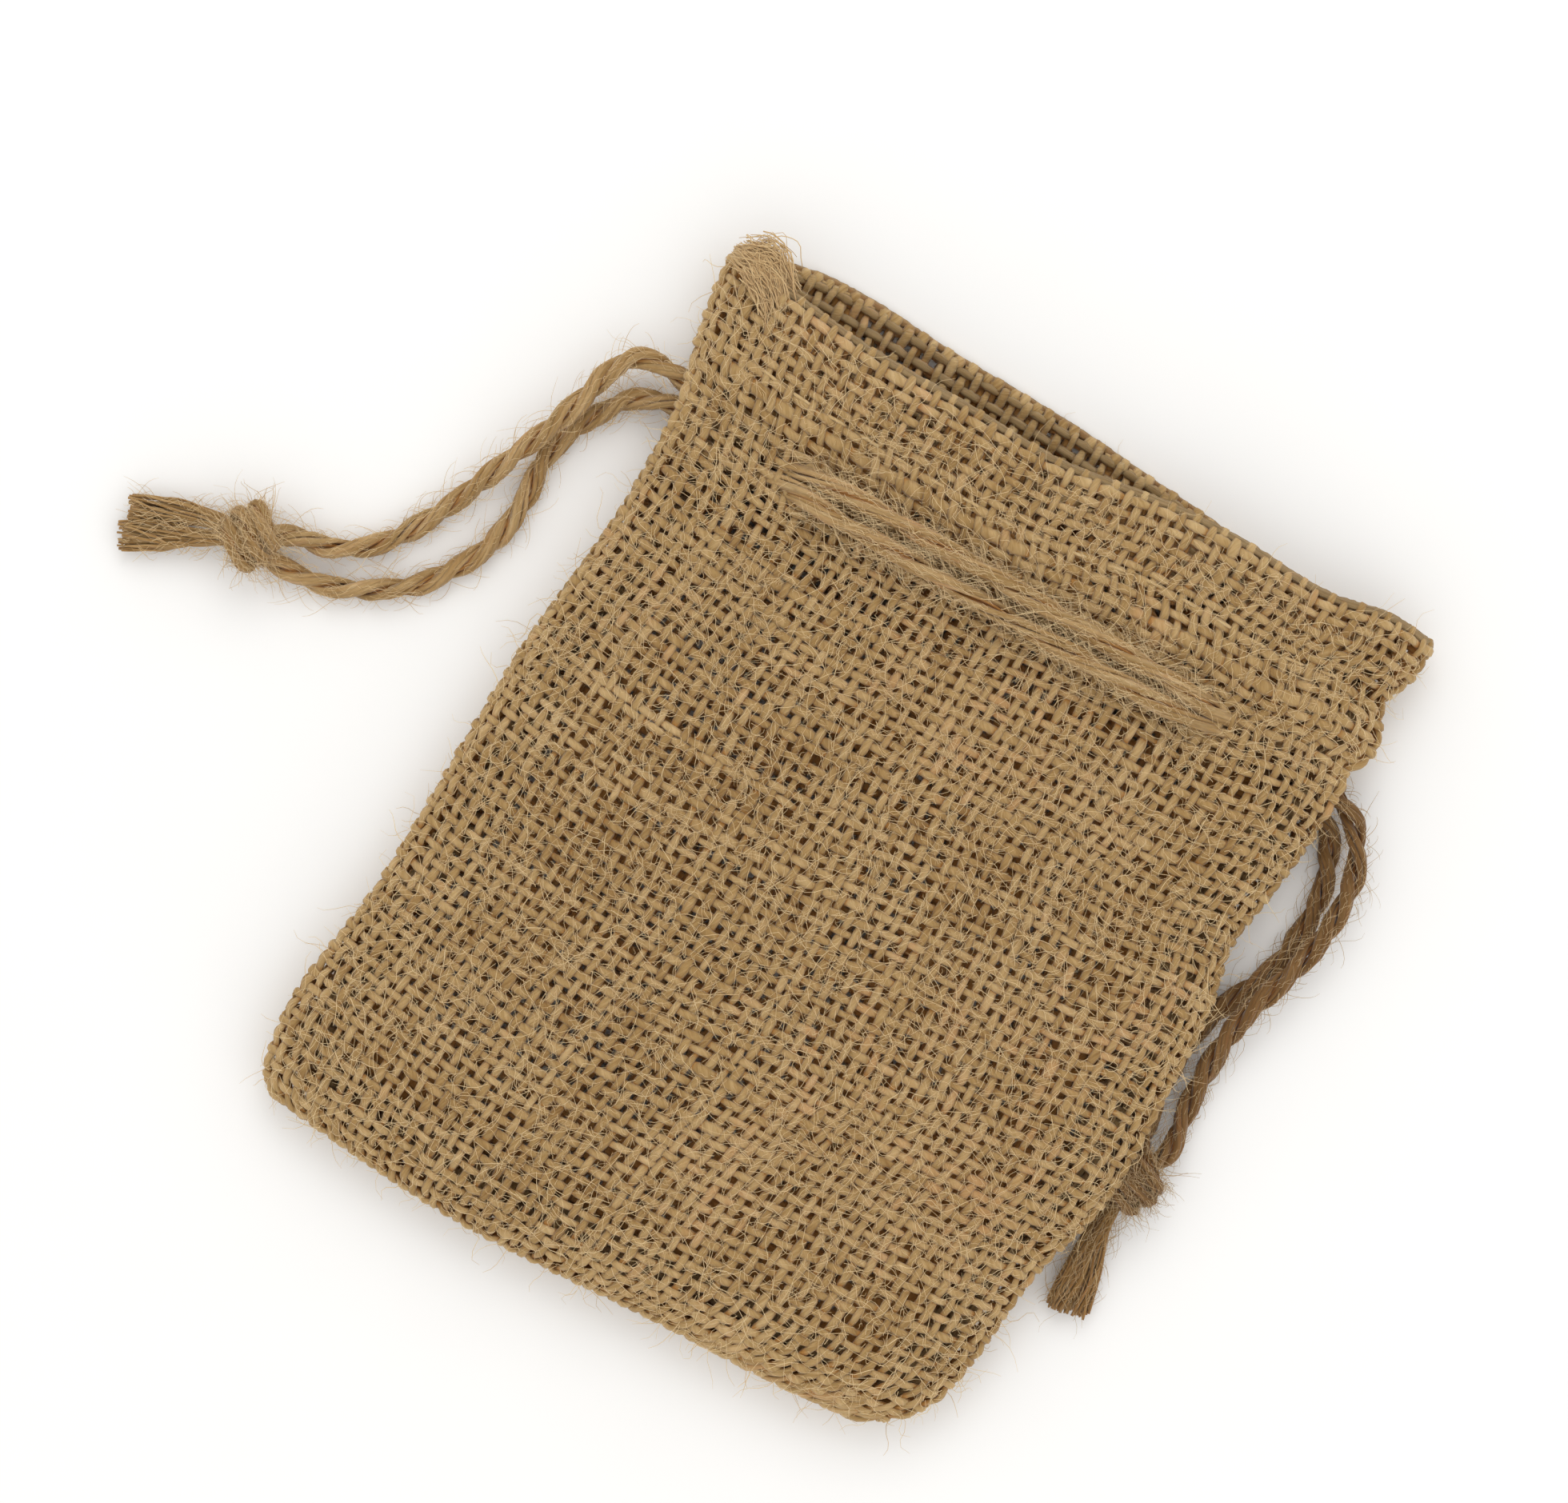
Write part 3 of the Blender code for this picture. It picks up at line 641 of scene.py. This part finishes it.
def twisted(route, reference=(0, 0, 1), size=1.0, start=0.0, lay=cord["lay"]):
    # two plies wound round the route, each of several loose strands: a ply's middle goes round the
    # route once in a lay, and its strands lie on an ellipse round that middle and turn the other way
    path, length = routeCurve(route, cord["step"])
    along = unit(np.gradient(path, axis=0))
    side = unit(np.cross(along, np.array(reference, float)))
    up = np.cross(side, along)
    far = np.linspace(0, length, len(path))
    ply, strand = np.meshgrid(np.arange(cord["plies"]), np.arange(cord["strands"]), indexing="ij")
    ply, strand = ply.reshape(-1, 1), strand.reshape(-1, 1)
    count = len(ply)
    stops = max(4, len(path) // 18)
    turn = start + 2 * np.pi * (far / lay + ply / cord["plies"])
    own = 2 * np.pi * strand / cord["strands"] + cord["strandTurn"] * turn
    own = own + drift(count, len(path), stops, cord["looseTurn"])
    outward = cord["spreadOut"] * np.cos(own) * (1 + drift(count, len(path), stops, cord["loose"]))
    outward = outward + cord["plyOffset"]
    sideways = cord["spreadRound"] * np.sin(own) * (1 + drift(count, len(path), stops, cord["loose"]))
    x = size * (outward * np.cos(turn) - sideways * np.sin(turn))
    y = size * (outward * np.sin(turn) + sideways * np.cos(turn))
    centres = path + side * x[..., None] + up * y[..., None]
    normals = unit(side * x[..., None] + up * y[..., None] + 1e-7 * up)
    thickness = cord["strandRadius"] * size * (1 + drift(count, len(path), stops, cord["uneven"]))
    part = tubes(centres, normals, thickness * 1.1, thickness, cord["strandSides"], 0.05)
    # painted shade: strands near the cord's middle get a low share of light
    near = np.linalg.norm(part[0].reshape(count, len(path), -1, 3) - path[:, None], axis=-1)
    litShare = ease(0.5 * mm * size, 1.35 * mm * size, near)
    return (*part[:3], litShare.ravel()), path, length


def hairTubes(starts, directions, lifts, lengths, thickness, bend=0.27, steps=5):
    # stray fibres: each goes out from its start, bows aside as t squared and rises as 4t(1 - 0.8t)
    count = len(starts)
    t = np.linspace(0, 1, steps + 1)
    reach = lengths[:, None]
    aside = unit(np.cross(directions, lifts))
    bow = rng.normal(0, bend, (count, 1)) * reach * t**2
    curl = rng.normal(0, 0.1, (count, 1)) * reach * np.sin(2 * np.pi * t)
    rise = rng.uniform(0.1, 1.0, (count, 1)) * np.minimum(reach * 0.35, 0.0011) * 4 * t * (1 - 0.8 * t)
    centres = (starts[:, None] + directions[:, None] * (reach * t)[..., None]
               + aside[:, None] * (bow + curl)[..., None] + lifts[:, None] * rise[..., None])
    centres[..., 2] = np.maximum(centres[..., 2], 0.25 * mm)
    normals = np.broadcast_to(lifts[:, None], centres.shape)
    width = rng.uniform(0.7, 1.3, (count, 1)) * thickness * (1 - 0.6 * t**2)
    return tubes(centres, normals, width, width, 3)


def cordHairs(path, perMillimetre, radius):
    # stray fibres that leave a cord at a slant
    far = np.linalg.norm(np.diff(path, axis=0), axis=1).sum()
    count = max(8, round(far / mm * perMillimetre))
    k = rng.integers(1, len(path) - 1, count)
    along = unit(path[k + 1] - path[k - 1])
    side = unit(np.cross(along, np.array([0.0, 0.0, 1.0]) + 1e-6))
    turn = rng.uniform(-0.3, np.pi + 0.3, count)[:, None]
    out = side * np.cos(turn) + np.cross(side, along) * np.sin(turn)
    sense = rng.choice([-1.0, 1.0], count)[:, None]
    slant = rng.uniform(0.15, 0.8, count)[:, None]
    directions = unit(along * sense + out * slant)
    lengths = cord["hairLength"][0] + cord["hairLength"][1] * rng.uniform(0, 1, count) ** 3
    return hairTubes(path[k] + out * radius * 0.92, directions, out, lengths, cord["hairThickness"], 0.3)


brushEnd = {"fibres": 64, "step": 0.0009, "flat": 0.72, "cut": 0.09, "thickness": (0.00015, 0.0003)}


def brush(route, narrow, broad):
    # an untwisted end: fibres fan out from the narrow radius to the broad one, and are cut off blunt
    count = brushEnd["fibres"]
    path, length = routeCurve(route, brushEnd["step"])
    along = unit(np.gradient(path, axis=0))
    side = unit(np.cross(along, np.array([0.0, 0.0, 1.0])))
    up = np.cross(side, along)
    t = np.linspace(0, 1, len(path))
    ring = np.sqrt(rng.uniform(0, 1, (count, 1)))
    angle = rng.uniform(0, 2 * np.pi, (count, 1)) + 1.3 * (1 - t) + drift(count, len(path), 4, 0.25)
    radius = ring * (narrow + (broad - narrow) * ease(0.1, 0.8, t)) * (1 + drift(count, len(path), 4, 0.08))
    ends = 1 - rng.uniform(0, brushEnd["cut"], (count, 1)) * t
    along = unit(path[-1] - path[-2])
    centres = (path + side * (radius * np.cos(angle))[..., None]
               + up * (brushEnd["flat"] * radius * np.sin(angle))[..., None]
               - along * (length * (1 - ends))[..., None])
    centres[..., 2] = np.maximum(centres[..., 2], 0.3 * mm)
    normals = unit(centres - path + 1e-7)
    thickness = rng.uniform(*brushEnd["thickness"], (count, 1)) * (1 - 0.25 * t)
    return tubes(centres, normals, thickness, thickness, 4, 0.08), path, length


print("shared tools ready:", warpCount, "warps,", weftCount, "wefts")

camera = {"width": 0.2058, "distance": 0.72, "turn": 30.0, "centre": (-0.01387, 0.00926, 0.006)}


def addCamera():
    # straight down on the bag, turned about the line of sight
    data = bpy.data.cameras.new("camera")
    data.sensor_width = 36.0
    data.lens = 36.0 * camera["distance"] / camera["width"]
    item = bpy.data.objects.new("camera", data)
    item.location = Vector(camera["centre"]) + Vector((0, 0, camera["distance"]))
    item.rotation_euler = (0, 0, math.radians(camera["turn"]))
    bpy.context.scene.collection.objects.link(item)
    bpy.context.scene.camera = item


addCamera()

# Free ends, knots and tails.
# Each point is in millimetres: out from the bag's side, along from the line of the runs
# towards the mouth, and up from a cord that lies on the floor.

lays = {
    "left_front": [(3.8, 4.0, 3.2), (6.5, 0.7, 3.2), (8.0, -4.6, 3.4), (10.3, -11.2, 3.2), (13.7, -19.4, 1.3),
                   (17.7, -28.3, 0.05), (21.8, -34.4, 0.05), (26.6, -37.9, 0.4), (32.0, -39.2, 1.6)],
    "left_back": [(2.0, -1.0, 1.0), (5.0, -4.6, 0.3), (7.4, -9.0, 0.05), (8.6, -13.9, 0.05),
                  (8.2, -19.0, 0.05), (8.6, -25.4, 0.05), (10.9, -31.2, 0.05), (15.6, -37.4, 0.05),
                  (22.2, -41.6, 0.05), (27.6, -43.2, 0.4), (32.0, -43.4, 1.4)],
    "right_front": [(3.8, -1.5, 2.6), (6.4, -4.3, 2.2), (8.3, -8.2, 2.2), (8.9, -13.4, 2.8),
                    (8.2, -19.8, 3.2), (6.8, -25.2, 3.3), (5.0, -31.0, 3.1), (4.4, -36.4, 1.8),
                    (4.5, -42.2, 0.3), (5.0, -48.2, 0.4), (5.3, -51.9, 1.4)],
    "right_back": [(2.1, -4.2, 0.8), (4.2, -7.6, 0.1), (5.6, -11.4, 0.05), (6.2, -15.6, 0.05),
                   (6.0, -20.6, 0.05), (4.8, -25.8, 0.05), (2.4, -31.0, 0.05), (0.6, -36.6, 0.05),
                   (0.2, -42.6, 0.05), (0.7, -48.4, 0.4), (1.3, -51.7, 1.4)],
    "left_tails": [[(42.0, -42.6, 1.6), (45.6, -43.6, 0.7), (49.2, -45.2, 0.3), (53.0, -46.9, 0.2)],
                   [(41.6, -44.9, 1.6), (45.2, -46.8, 0.7), (48.8, -48.8, 0.3), (52.3, -50.8, 0.2)]],
    "right_tails": [[(2.7, -62.0, 1.8), (3.1, -66.8, 1.0), (4.2, -71.4, 0.4), (5.4, -77.0, 0.2)],
                    [(2.0, -62.2, 1.0), (2.0, -67.0, 0.6), (2.4, -71.6, 0.3), (2.9, -77.6, 0.2)]],
}
sideEdge = {-1: -patternLeft, 1: 51.1 * mm}
# where a free end starts inside the bag and crosses the side, in millimetres
inside = {
    "left_front": [(-36.6, 43.9, 5.9), (-42.0, 44.4, 5.4), (-49.4, 45.0, 5.2)],
    "left_back": [(-38.4, 42.1, 3.6), (-43.0, 41.8, 4.2), (-48.4, 41.6, 4.0)],
    "right_front": [(38.4, 39.8, 5.9), (43.4, 40.4, 5.4), (50.2, 40.6, 5.2)],
    "right_back": [(40.6, 38.2, 3.6), (45.0, 38.0, 4.2), (49.6, 38.2, 4.0)],
}
knots = {
    # heading: the way of the cord through the knot, in degrees; lean: of the wrap, away from that
    "left": {"centre": (36.8, -42.0, 2.5), "heading": 192.0, "lean": 38.0},
    "right": {"centre": (2.9, -57.2, 2.4), "heading": 264.0, "lean": -30.0},
    "turns": 1.9,                     # of the wrap round the two strands
    "wide": 3.3, "tall": 2.5,         # its half sizes, to the middle of the cord, in millimetres
    "pitch": 2.7, "apart": 2.5,       # from turn to turn, and between its two strands
    "closing": 0.35,                  # how late the wrap draws in to the knot's middle at its ends
    "from": -0.9,                     # the angle that it starts at, in radians
    "points": 90, "lay": 0.016,
    "size": 0.92,                     # the wrap's thickness as a share of the cord's
}


def laid(points, sign):
    # from a side's own millimetres to places in metres
    return [(sign * (sideEdge[sign] + out * mm), cordLine + along * mm, onFloor + up * mm)
            for out, along, up in points]


twinePaint = {"fibres": 3.0, "twist": 0.05, "rowTone": 0.14, "cloud": 60.0, "centre": 0.31,
              "bump": 0.8, "bumpDepth": 0.0002, "rust": 0.45}
# the free end and knot on the right are darker and browner than the rest as painted shadow, and its tails
# less so; the runs are the palest
twineTintAndShadow = {
    "left_pull": (0.86, 0.81, 0.77), "left_knot": (0.80, 0.74, 0.68), "left_tail": (0.80, 0.72, 0.63),
    "right_pull": (0.40, 0.31, 0.23), "right_knot": (0.42, 0.33, 0.25), "right_tail": (0.62, 0.52, 0.41),
    "run": (0.90, 0.86, 0.84),
}
perCord = cord["plies"] * cord["strands"]
tailRadii = {"left": (0.95 * mm, 1.95 * mm), "right": (0.6 * mm, 1.75 * mm)}   # at the knot, at the end


def addTwine(name, parts, body, node, rows, length, shade):
    # parts of twine as one piece that stands for a node and moves with a body
    look = {**twinePaint, "threads": rows, "length": length, "shade": twineTintAndShadow[shade]}
    material = juteVariant(name, **look)
    piece = newPiece(name, *joined(parts), material)
    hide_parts(node)
    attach(piece, body)
    return piece


hairLook = {"threads": 60, "length": 20.0, "fibres": 1.0, "rowTone": 0.5, "centre": 0.2, "bump": 0.1,
            "glow": 0.0, "rust": 0.2,
            "stops": [(0.1, shown(178, 140, 92)), (0.4, shown(206, 172, 122)), (0.85, shown(230, 204, 156))]}


def addFuzz(name, part, body, shade=(1.0, 1.0, 1.0)):
    # stray fibres as a piece of their own, paler than the cord
    material = juteVariant(name, **hairLook, shade=shade)
    piece = newPiece(name, *part, material)
    if body:
        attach(piece, body)
    return piece


def knotRoute(centre, heading, shift):
    # a helix round the heading that starts and ends in the knot's middle: with w the share of the way,
    # the half sizes are times sin(pi w) to the power closing, at the angle 2 pi * turns * w, and shift
    # sets one strand off from the other
    w = np.linspace(0.012, 0.988, knots["points"])
    angle = 2 * np.pi * knots["turns"] * w + knots["from"]
    radius = np.sin(np.pi * w) ** knots["closing"]
    along = (knots["pitch"] * knots["turns"] * (w - 0.5) + shift) * radius
    across = knots["wide"] * radius * np.cos(angle)
    up = knots["tall"] * radius * np.sin(angle)
    c, s = math.cos(heading), math.sin(heading)
    return np.stack([along * c - across * s, along * s + across * c, up], 1) * mm + np.array(centre)


def buildPull(side, sign):
    # a side's two strands, their knot and tails, and one piece of stray fibres
    body = f"{side}_pull"
    centre = np.array(laid([knots[side]["centre"]], sign)[0])
    made, hairs = [], []
    for layer, start in (("front", 0.4), ("back", 1.7)):
        key = f"{side}_{layer}"
        route = [tuple(c * mm for c in p) for p in inside[key]] + laid(lays[key], sign)
        last = np.array(route[-1])
        route.append(tuple(last + 0.6 * (centre - last)))
        part, path, length = twisted(route, start=start)
        exitPoint = route[2]
        name = f"{side}_pull_{layer}_twine"
        piece = addTwine(name, [part], body, f"{side}_pull_{layer}", perCord, length / mm, body)
        made.append((piece, path, length, exitPoint))
        free = path[np.linalg.norm(path - np.array(exitPoint), axis=1).argmin():]
        hairs.append(cordHairs(free, cord["hairs"], 1.45 * mm))
    knot = knots[side]
    loops = []
    for k, share in enumerate((-0.5, 0.5)):
        points = knotRoute(centre, math.radians(knot["heading"] + knot["lean"]), share * knots["apart"])
        points[:, 2] = np.maximum(points[:, 2], 1.45 * mm)
        part, path, length = twisted(points, size=knots["size"], start=k, lay=knots["lay"])
        loops.append(part)
        hairs.append(cordHairs(path, 3.0 * cord["hairs"], 1.3 * mm))
    knotPiece = addTwine(f"{side}_knot_twine", loops, body, f"{side}_knot", 2 * perCord, length / mm,
                         f"{side}_knot")
    tails = []
    for number, tail in enumerate(lays[f"{side}_tails"], 1):
        route = laid(tail, sign)
        first = np.array(route[0])
        route = [tuple(first + 0.5 * (centre - first))] + route
        part, path, length = brush(route, *tailRadii[side])
        name = f"{side}_tail_{number}_twine"
        tails.append(addTwine(name, [part], body, f"{side}_tail_{number}", brushEnd["fibres"], length / mm,
                              f"{side}_tail"))
        hairs.append(cordHairs(path, 1.2 * cord["hairs"], 1.6 * mm))
    # the fibres take part of their cord's tint, and on the right part of its painted shadow
    hairShade = tuple(0.45 + 0.55 * v for v in twineTintAndShadow[body])
    fuzz = addFuzz(f"{side}_pull_fuzz", joined(hairs), body, shade=hairShade)
    for k, (piece, path, length, exitPoint) in enumerate(made):
        [knotPiece, fuzz] + tails if k == 0 else []


buildPull("left", -1)
buildPull("right", 1)
print("cords: free ends, knots and tails made")


runs = {
    "hold": 0.00135, "mid": 0.00178,   # from the line of the runs, at a hole and half way between
    "size": 0.95, "frontLay": 0.026, "backLay": 0.017,
    "backApart": 0.00175,
}
inFront = leftRunLow.z + 1.5 * mm      # the level of a run inside the front


def buildRun(side):
    # over the front from hole to hole; the two runs draw together where they dive
    out = 1 if side == "left" else -1
    hold, mid = runs["hold"] * out, runs["mid"] * out
    top = onFront + 0.1 * mm
    under = inFront
    half = [(-6.4, hold, under), (-4.0, hold, under + 0.6 * mm), (-1.2, hold, top - 2.6 * mm),
            (1.8, hold * 1.05, top - 0.7 * mm), (6.0, hold * 1.3, top), (14.0, mid, top + 0.1 * mm)]
    left = [(holeLeft + x * mm, cordLine + dy, z) for x, dy, z in half]
    right = [(holeRight - x * mm, cordLine + dy * 0.94, z) for x, dy, z in reversed(half)]
    centre = [((holeLeft + holeRight) / 2, cordLine + mid * 1.04, top)]
    part, path, length = twisted(left + centre + right, reference=(0, 1, 0), start=0.5 + out,
                                 size=runs["size"], lay=runs["frontLay"])
    name = f"{side}_front_run_twine"
    piece = addTwine(name, [part], "bag_front", f"{side}_cord_front_run", perCord, length / mm, "run")
    overCloth = path[np.abs(path[:, 0] - centre[0][0]) < (holeRight - holeLeft) / 2]
    hairs = cordHairs(overCloth, 2.0 * cord["hairs"], 1.4 * mm)
    fuzz = addFuzz(f"{side}_front_run_fuzz", hairs, "bag_front")


def buildBackRun(side, sign):
    # under the back from hole to hole, then round inside the far side
    y = cordLine + sign * runs["backApart"]
    near, far = (holeLeft, holeRight) if side == "left" else (holeRight, holeLeft)
    over = 2.7 * mm
    under = inFront
    half = (under - over) / 2
    middle = (under + over) / 2
    wide = y + (1.0 * mm if side == "left" else -0.6 * mm)
    turnAt = far + sign * 12.5 * mm
    route = [(near - sign * 9.0 * mm, y, over), (near - sign * 5.5 * mm, y, over - 0.3 * mm),
             (near + sign * 1.0 * mm, y, onFloor), ((near + far) / 2, y, onFloor),
             (far - sign * 1.0 * mm, y, onFloor), (far + sign * 5.5 * mm, y, over - 0.3 * mm),
             (far + sign * 9.0 * mm, wide, over), (turnAt, wide, over),
             (turnAt + sign * half * 0.8, wide, middle - half * 0.6), (turnAt + sign * half, wide, middle),
             (turnAt + sign * half * 0.8, wide, middle + half * 0.6), (turnAt, wide, under),
             (far + sign * 7.0 * mm, y, under)]
    part, path, length = twisted(route, reference=(0, 1, 0), start=2.0, lay=runs["backLay"])
    name = f"{side}_back_run_twine"
    piece = addTwine(name, [part], "bag_back", f"{side}_cord_back_run", perCord, length / mm, "run")


for side in ("left", "right"):
    buildRun(side)
for side, sign in (("left", 1), ("right", -1)):
    buildBackRun(side, sign)
print("cords: runs made")

# Seams and stitches.

seam = {"inset": 0.0027, "depth": 0.0055, "layerGap": 0.00075, "rows": 3}
stitch = {"radius": 0.00022, "length": 0.0026, "up": 0.00058, "down": -0.0006,
          "fromEdge": 0.0012, "points": 420}


def seamFrame(side, layer, q, e):
    # q runs along the seam and e from its sewn edge inwards, through one of its two layers
    if side == "base":
        s, t = q, np.zeros_like(q)
        inward = np.array([0.0, 1.0, 0.0])
    else:
        s, t = np.full_like(q, 0.0 if side == "left" else 1.0), q
        inward = np.array([1.0 if side == "left" else -1.0, 0.0, 0.0])
    edge = 0.5 * (panelPoint("front", s, t) + panelPoint("back", s, t))
    point = edge + inward * (seam["inset"] + seam["depth"] * e)[..., None]
    point[..., 2] += 0.5 * layer * seam["layerGap"]
    normal = np.zeros_like(point)
    normal[..., 2] = layer
    return point, normal


def buildSeam(side):
    # two turned-in edges of cloth, face to face
    long = warpCount if side == "base" else weftCount
    ends = (0.06, 0.94) if side == "base" else (0.05, 0.97)
    parts = []
    for layer in (-1, 1):
        def frameAt(s, t):
            # the layer that the loop is at, and along it the part that is sewn
            q, e = (s, t) if side == "base" else (t, s)
            return seamFrame(side, layer, ends[0] + (ends[1] - ends[0]) * q, e)
        counts = (long, seam["rows"]) if side == "base" else (seam["rows"], long)
        for direction, rows in (("warp", range(counts[0])), ("weft", range(counts[1]))):
            *threads, lift = weaveThreads(frameAt, direction, counts, rows, (0.0, 1.0))
            parts.append(tubes(*threads, weave["sides"], 0.0, lift))
    material = juteVariant(f"{side}_seam", threads=120, length=60.0)
    piece = newPiece(f"{side}_seam_cloth", *joined(parts), material)
    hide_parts(f"{side}_seam")
    return piece


def stitchLine(points, normals, name, node):
    # a running stitch: the thread rises over the cloth and sinks under it, once in two stitches
    arc = np.concatenate([[0], np.cumsum(np.linalg.norm(np.diff(points, axis=0), axis=1))])
    wave = np.tanh(2.2 * np.sin(np.pi * arc / stitch["length"]))
    height = stitch["down"] + (stitch["up"] - stitch["down"]) * (0.5 + 0.5 * wave)
    centres = (points + normals * height[:, None])[None]
    width = stitch["radius"] * np.ones((1, len(points)))
    part = tubes(centres, normals[None], width, width, 6, 0.04)
    material = juteVariant(name, threads=1, length=arc[-1] / mm, fibres=3.0, centre=0.26, rust=0.0, bump=0.4)
    piece = newPiece(name, *part, material)
    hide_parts(node)
    return piece


def buildSeamStitches(side):
    # one row through both layers, a third of the way in from the sewn edge
    q = np.linspace(0.07, 0.93, stitch["points"])
    points, normals = seamFrame(side, 1, q, np.full_like(q, 0.35))
    return stitchLine(points, normals, f"{side}_seam_thread", f"{side}_seam_stitching")


def buildHemStitches(face):
    # one row near the hem's edge, which strays from the thread of the cloth as two sines
    s = np.linspace(0.06, 0.94, stitch["points"])
    t = 1 - (bag["hemDepth"] - stitch["fromEdge"]) / clothLength
    t = t + 0.0016 * np.sin(9.0 * s) + 0.0011 * np.sin(31.0 * s)
    points, normals = panelFrame(face, s, t)
    return stitchLine(points, normals, f"{face}_hem_thread", f"{face}_hem_stitching")


# Stray fibres on the cloth.

fuzz = {"count": 6200, "thickness": 0.000042, "shortest": 0.0008, "longest": 0.0066, "offCloth": 0.00058}


def buildFuzz(name, face, count):
    # fibres lie on the outer face at random, most along a thread, and bow up a little
    s, t = rng.uniform(0.012, 0.988, (2, count))
    point, normal = panelFrame(face, s, t)
    along, _ = panelFrame(face, s, np.minimum(t + 0.01, 1))
    along = unit(along - point)
    across = np.cross(along, normal)
    angle = rng.normal(0, 0.55, count) + rng.choice([0, 0.5, 1.0, 1.5], count) * np.pi
    direction = unit(along * np.cos(angle)[:, None] + across * np.sin(angle)[:, None] + 0.12 * normal)
    more = fuzz["longest"] - fuzz["shortest"]
    lengths = fuzz["shortest"] + more * rng.uniform(0, 1, count) ** 2.2
    starts = point + normal * fuzz["offCloth"]
    part = hairTubes(starts, direction, normal, lengths, fuzz["thickness"])
    return addFuzz(name, part, None)


# in millimetres
tuft = {
    "count": 320, "from": (-52.6, 62.8, 9.0), "to": (-42.8, 61.2, 9.8),
    "spread": 3.0, "stray": 1.7, "curl": 0.6,
    "arch": 1.5, "bow": 1.0, "sink": 1.6,
    "radius": (0.03, 0.1), "shade": (0.84, 0.78, 0.71),
}


def buildTuft():
    # loose ends combed over the corner of the mouth, in a fan that bends towards the lip
    count = tuft["count"]
    t = np.linspace(0, 1, 9)
    lane = rng.normal(0, 0.5, (count, 1)).clip(-1.2, 1.2)
    first, last = rng.uniform(0, 0.4, (count, 1)), rng.uniform(0.5, 1.12, (count, 1))
    q = first + (last - first) * t
    start, end = np.array(tuft["from"]), np.array(tuft["to"])
    spread = tuft["spread"] * (0.35 + 0.65 * np.sin(np.pi * np.clip(q, 0, 1) * 0.8))
    arch = np.sin(np.pi * q)
    stray = rng.normal(0, tuft["stray"], (count, 1)) * q**1.5
    x = start[0] + (end[0] - start[0]) * q
    y = start[1] + (end[1] - start[1]) * q + lane * spread + stray + tuft["bow"] * arch - tuft["sink"] * q**3
    z = start[2] + (end[2] - start[2]) * q + tuft["arch"] * arch + rng.normal(0, 0.25, (count, 1))
    y = y + drift(count, 9, 3, tuft["curl"])
    z = z + drift(count, 9, 3, tuft["curl"] / 2)
    centres = np.stack([x, y, z], -1) * mm
    normals = np.zeros_like(centres)
    normals[..., 2] = 1
    width = rng.uniform(*tuft["radius"], (count, 1)) * mm
    part = tubes(centres, normals, width, width, 4)
    return addFuzz("mouth_corner_tuft", part, None, shade=tuft["shade"])


# Build the cloth.

frontPieces = buildPanel("front")
backPieces = buildPanel("back")
frontHem = buildHem("front")
backHem = buildHem("back")
frontThread = buildHemStitches("front")
backThread = buildHemStitches("back")
seams = {side: buildSeam(side) for side in ("left", "right", "base")}
seamThreads = {side: buildSeamStitches(side) for side in ("left", "right", "base")}
frontFuzz = [buildFuzz(f"front_fuzz_{k}", "front", fuzz["count"]) for k in (1, 2)]
backFuzz = buildFuzz("back_fuzz", "back", fuzz["count"] // 2)
cornerTuft = buildTuft()
print("cloth: hems, seams, stitches and stray fibres made")


def rideCloth(piece):
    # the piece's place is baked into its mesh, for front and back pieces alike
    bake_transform(piece)


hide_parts("front_panel")
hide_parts("back_panel")
for piece in frontPieces + [frontHem, frontThread, cornerTuft] + frontFuzz:
    rideCloth(piece)
for piece in backPieces + [seams["right"], seamThreads["right"]]:
    rideCloth(piece)
for piece in [backHem, backThread, backFuzz] + [kind[side] for kind in (seams, seamThreads)
                                                for side in ("left", "base")]:
    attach(piece, "bag_back")

studio = {
    "world": 0.95,
    "floor": (0.935, 0.925, 0.905), "floorHalf": 3.0,
    # each lamp's place, its power in watts and its size
    "key": ((-0.35, 0.75, 0.9), 2.6, 0.7),
    "fill": ((0.8, -0.3, 0.8), 0.9, 1.0),
}


def addLights():
    # an even white sky, and two soft lamps that point at the bag
    world = bpy.data.worlds.new("studio")
    world.use_nodes = True
    sky = world.node_tree.nodes["Background"]
    sky.inputs["Color"].default_value = (1, 1, 1, 1)
    sky.inputs["Strength"].default_value = studio["world"]
    bpy.context.scene.world = world
    for name in ("key", "fill"):
        place, power, size = studio[name]
        data = bpy.data.lights.new(name, "AREA")
        data.size = size
        data.energy = power
        item = bpy.data.objects.new(name, data)
        item.location = place
        item.rotation_euler = (-Vector(place)).to_track_quat("-Z", "Y").to_euler()
        bpy.context.scene.collection.objects.link(item)


def addFloor():
    # one pale square, a little uneven in tone
    paint = Paint("floor")
    place = paint.add("ShaderNodeTexCoord", None, None, 3)
    grain = paint.add("ShaderNodeTexNoise", None, {"Vector": place, "Scale": 40.0})
    pale = np.array(studio["floor"])
    colour = paint.mix(grain, (*map(float, pale), 1), (*map(float, pale + 0.02), 1))
    material = paint.set(Base_Color=colour, Roughness=0.9)
    uv = np.array([(0, 0), (1, 0), (1, 1), (0, 1)], float)
    half = studio["floorHalf"]
    verts = np.array([(-half, -half, 0), (half, -half, 0), (half, half, 0), (-half, half, 0)], float)
    floor = newPiece("floor", verts, np.array([[0, 1, 2, 3]]), uv, np.ones(4), material)


addLights()
addFloor()
scene = bpy.context.scene
scene.view_settings.view_transform = "Standard"
print("studio ready")
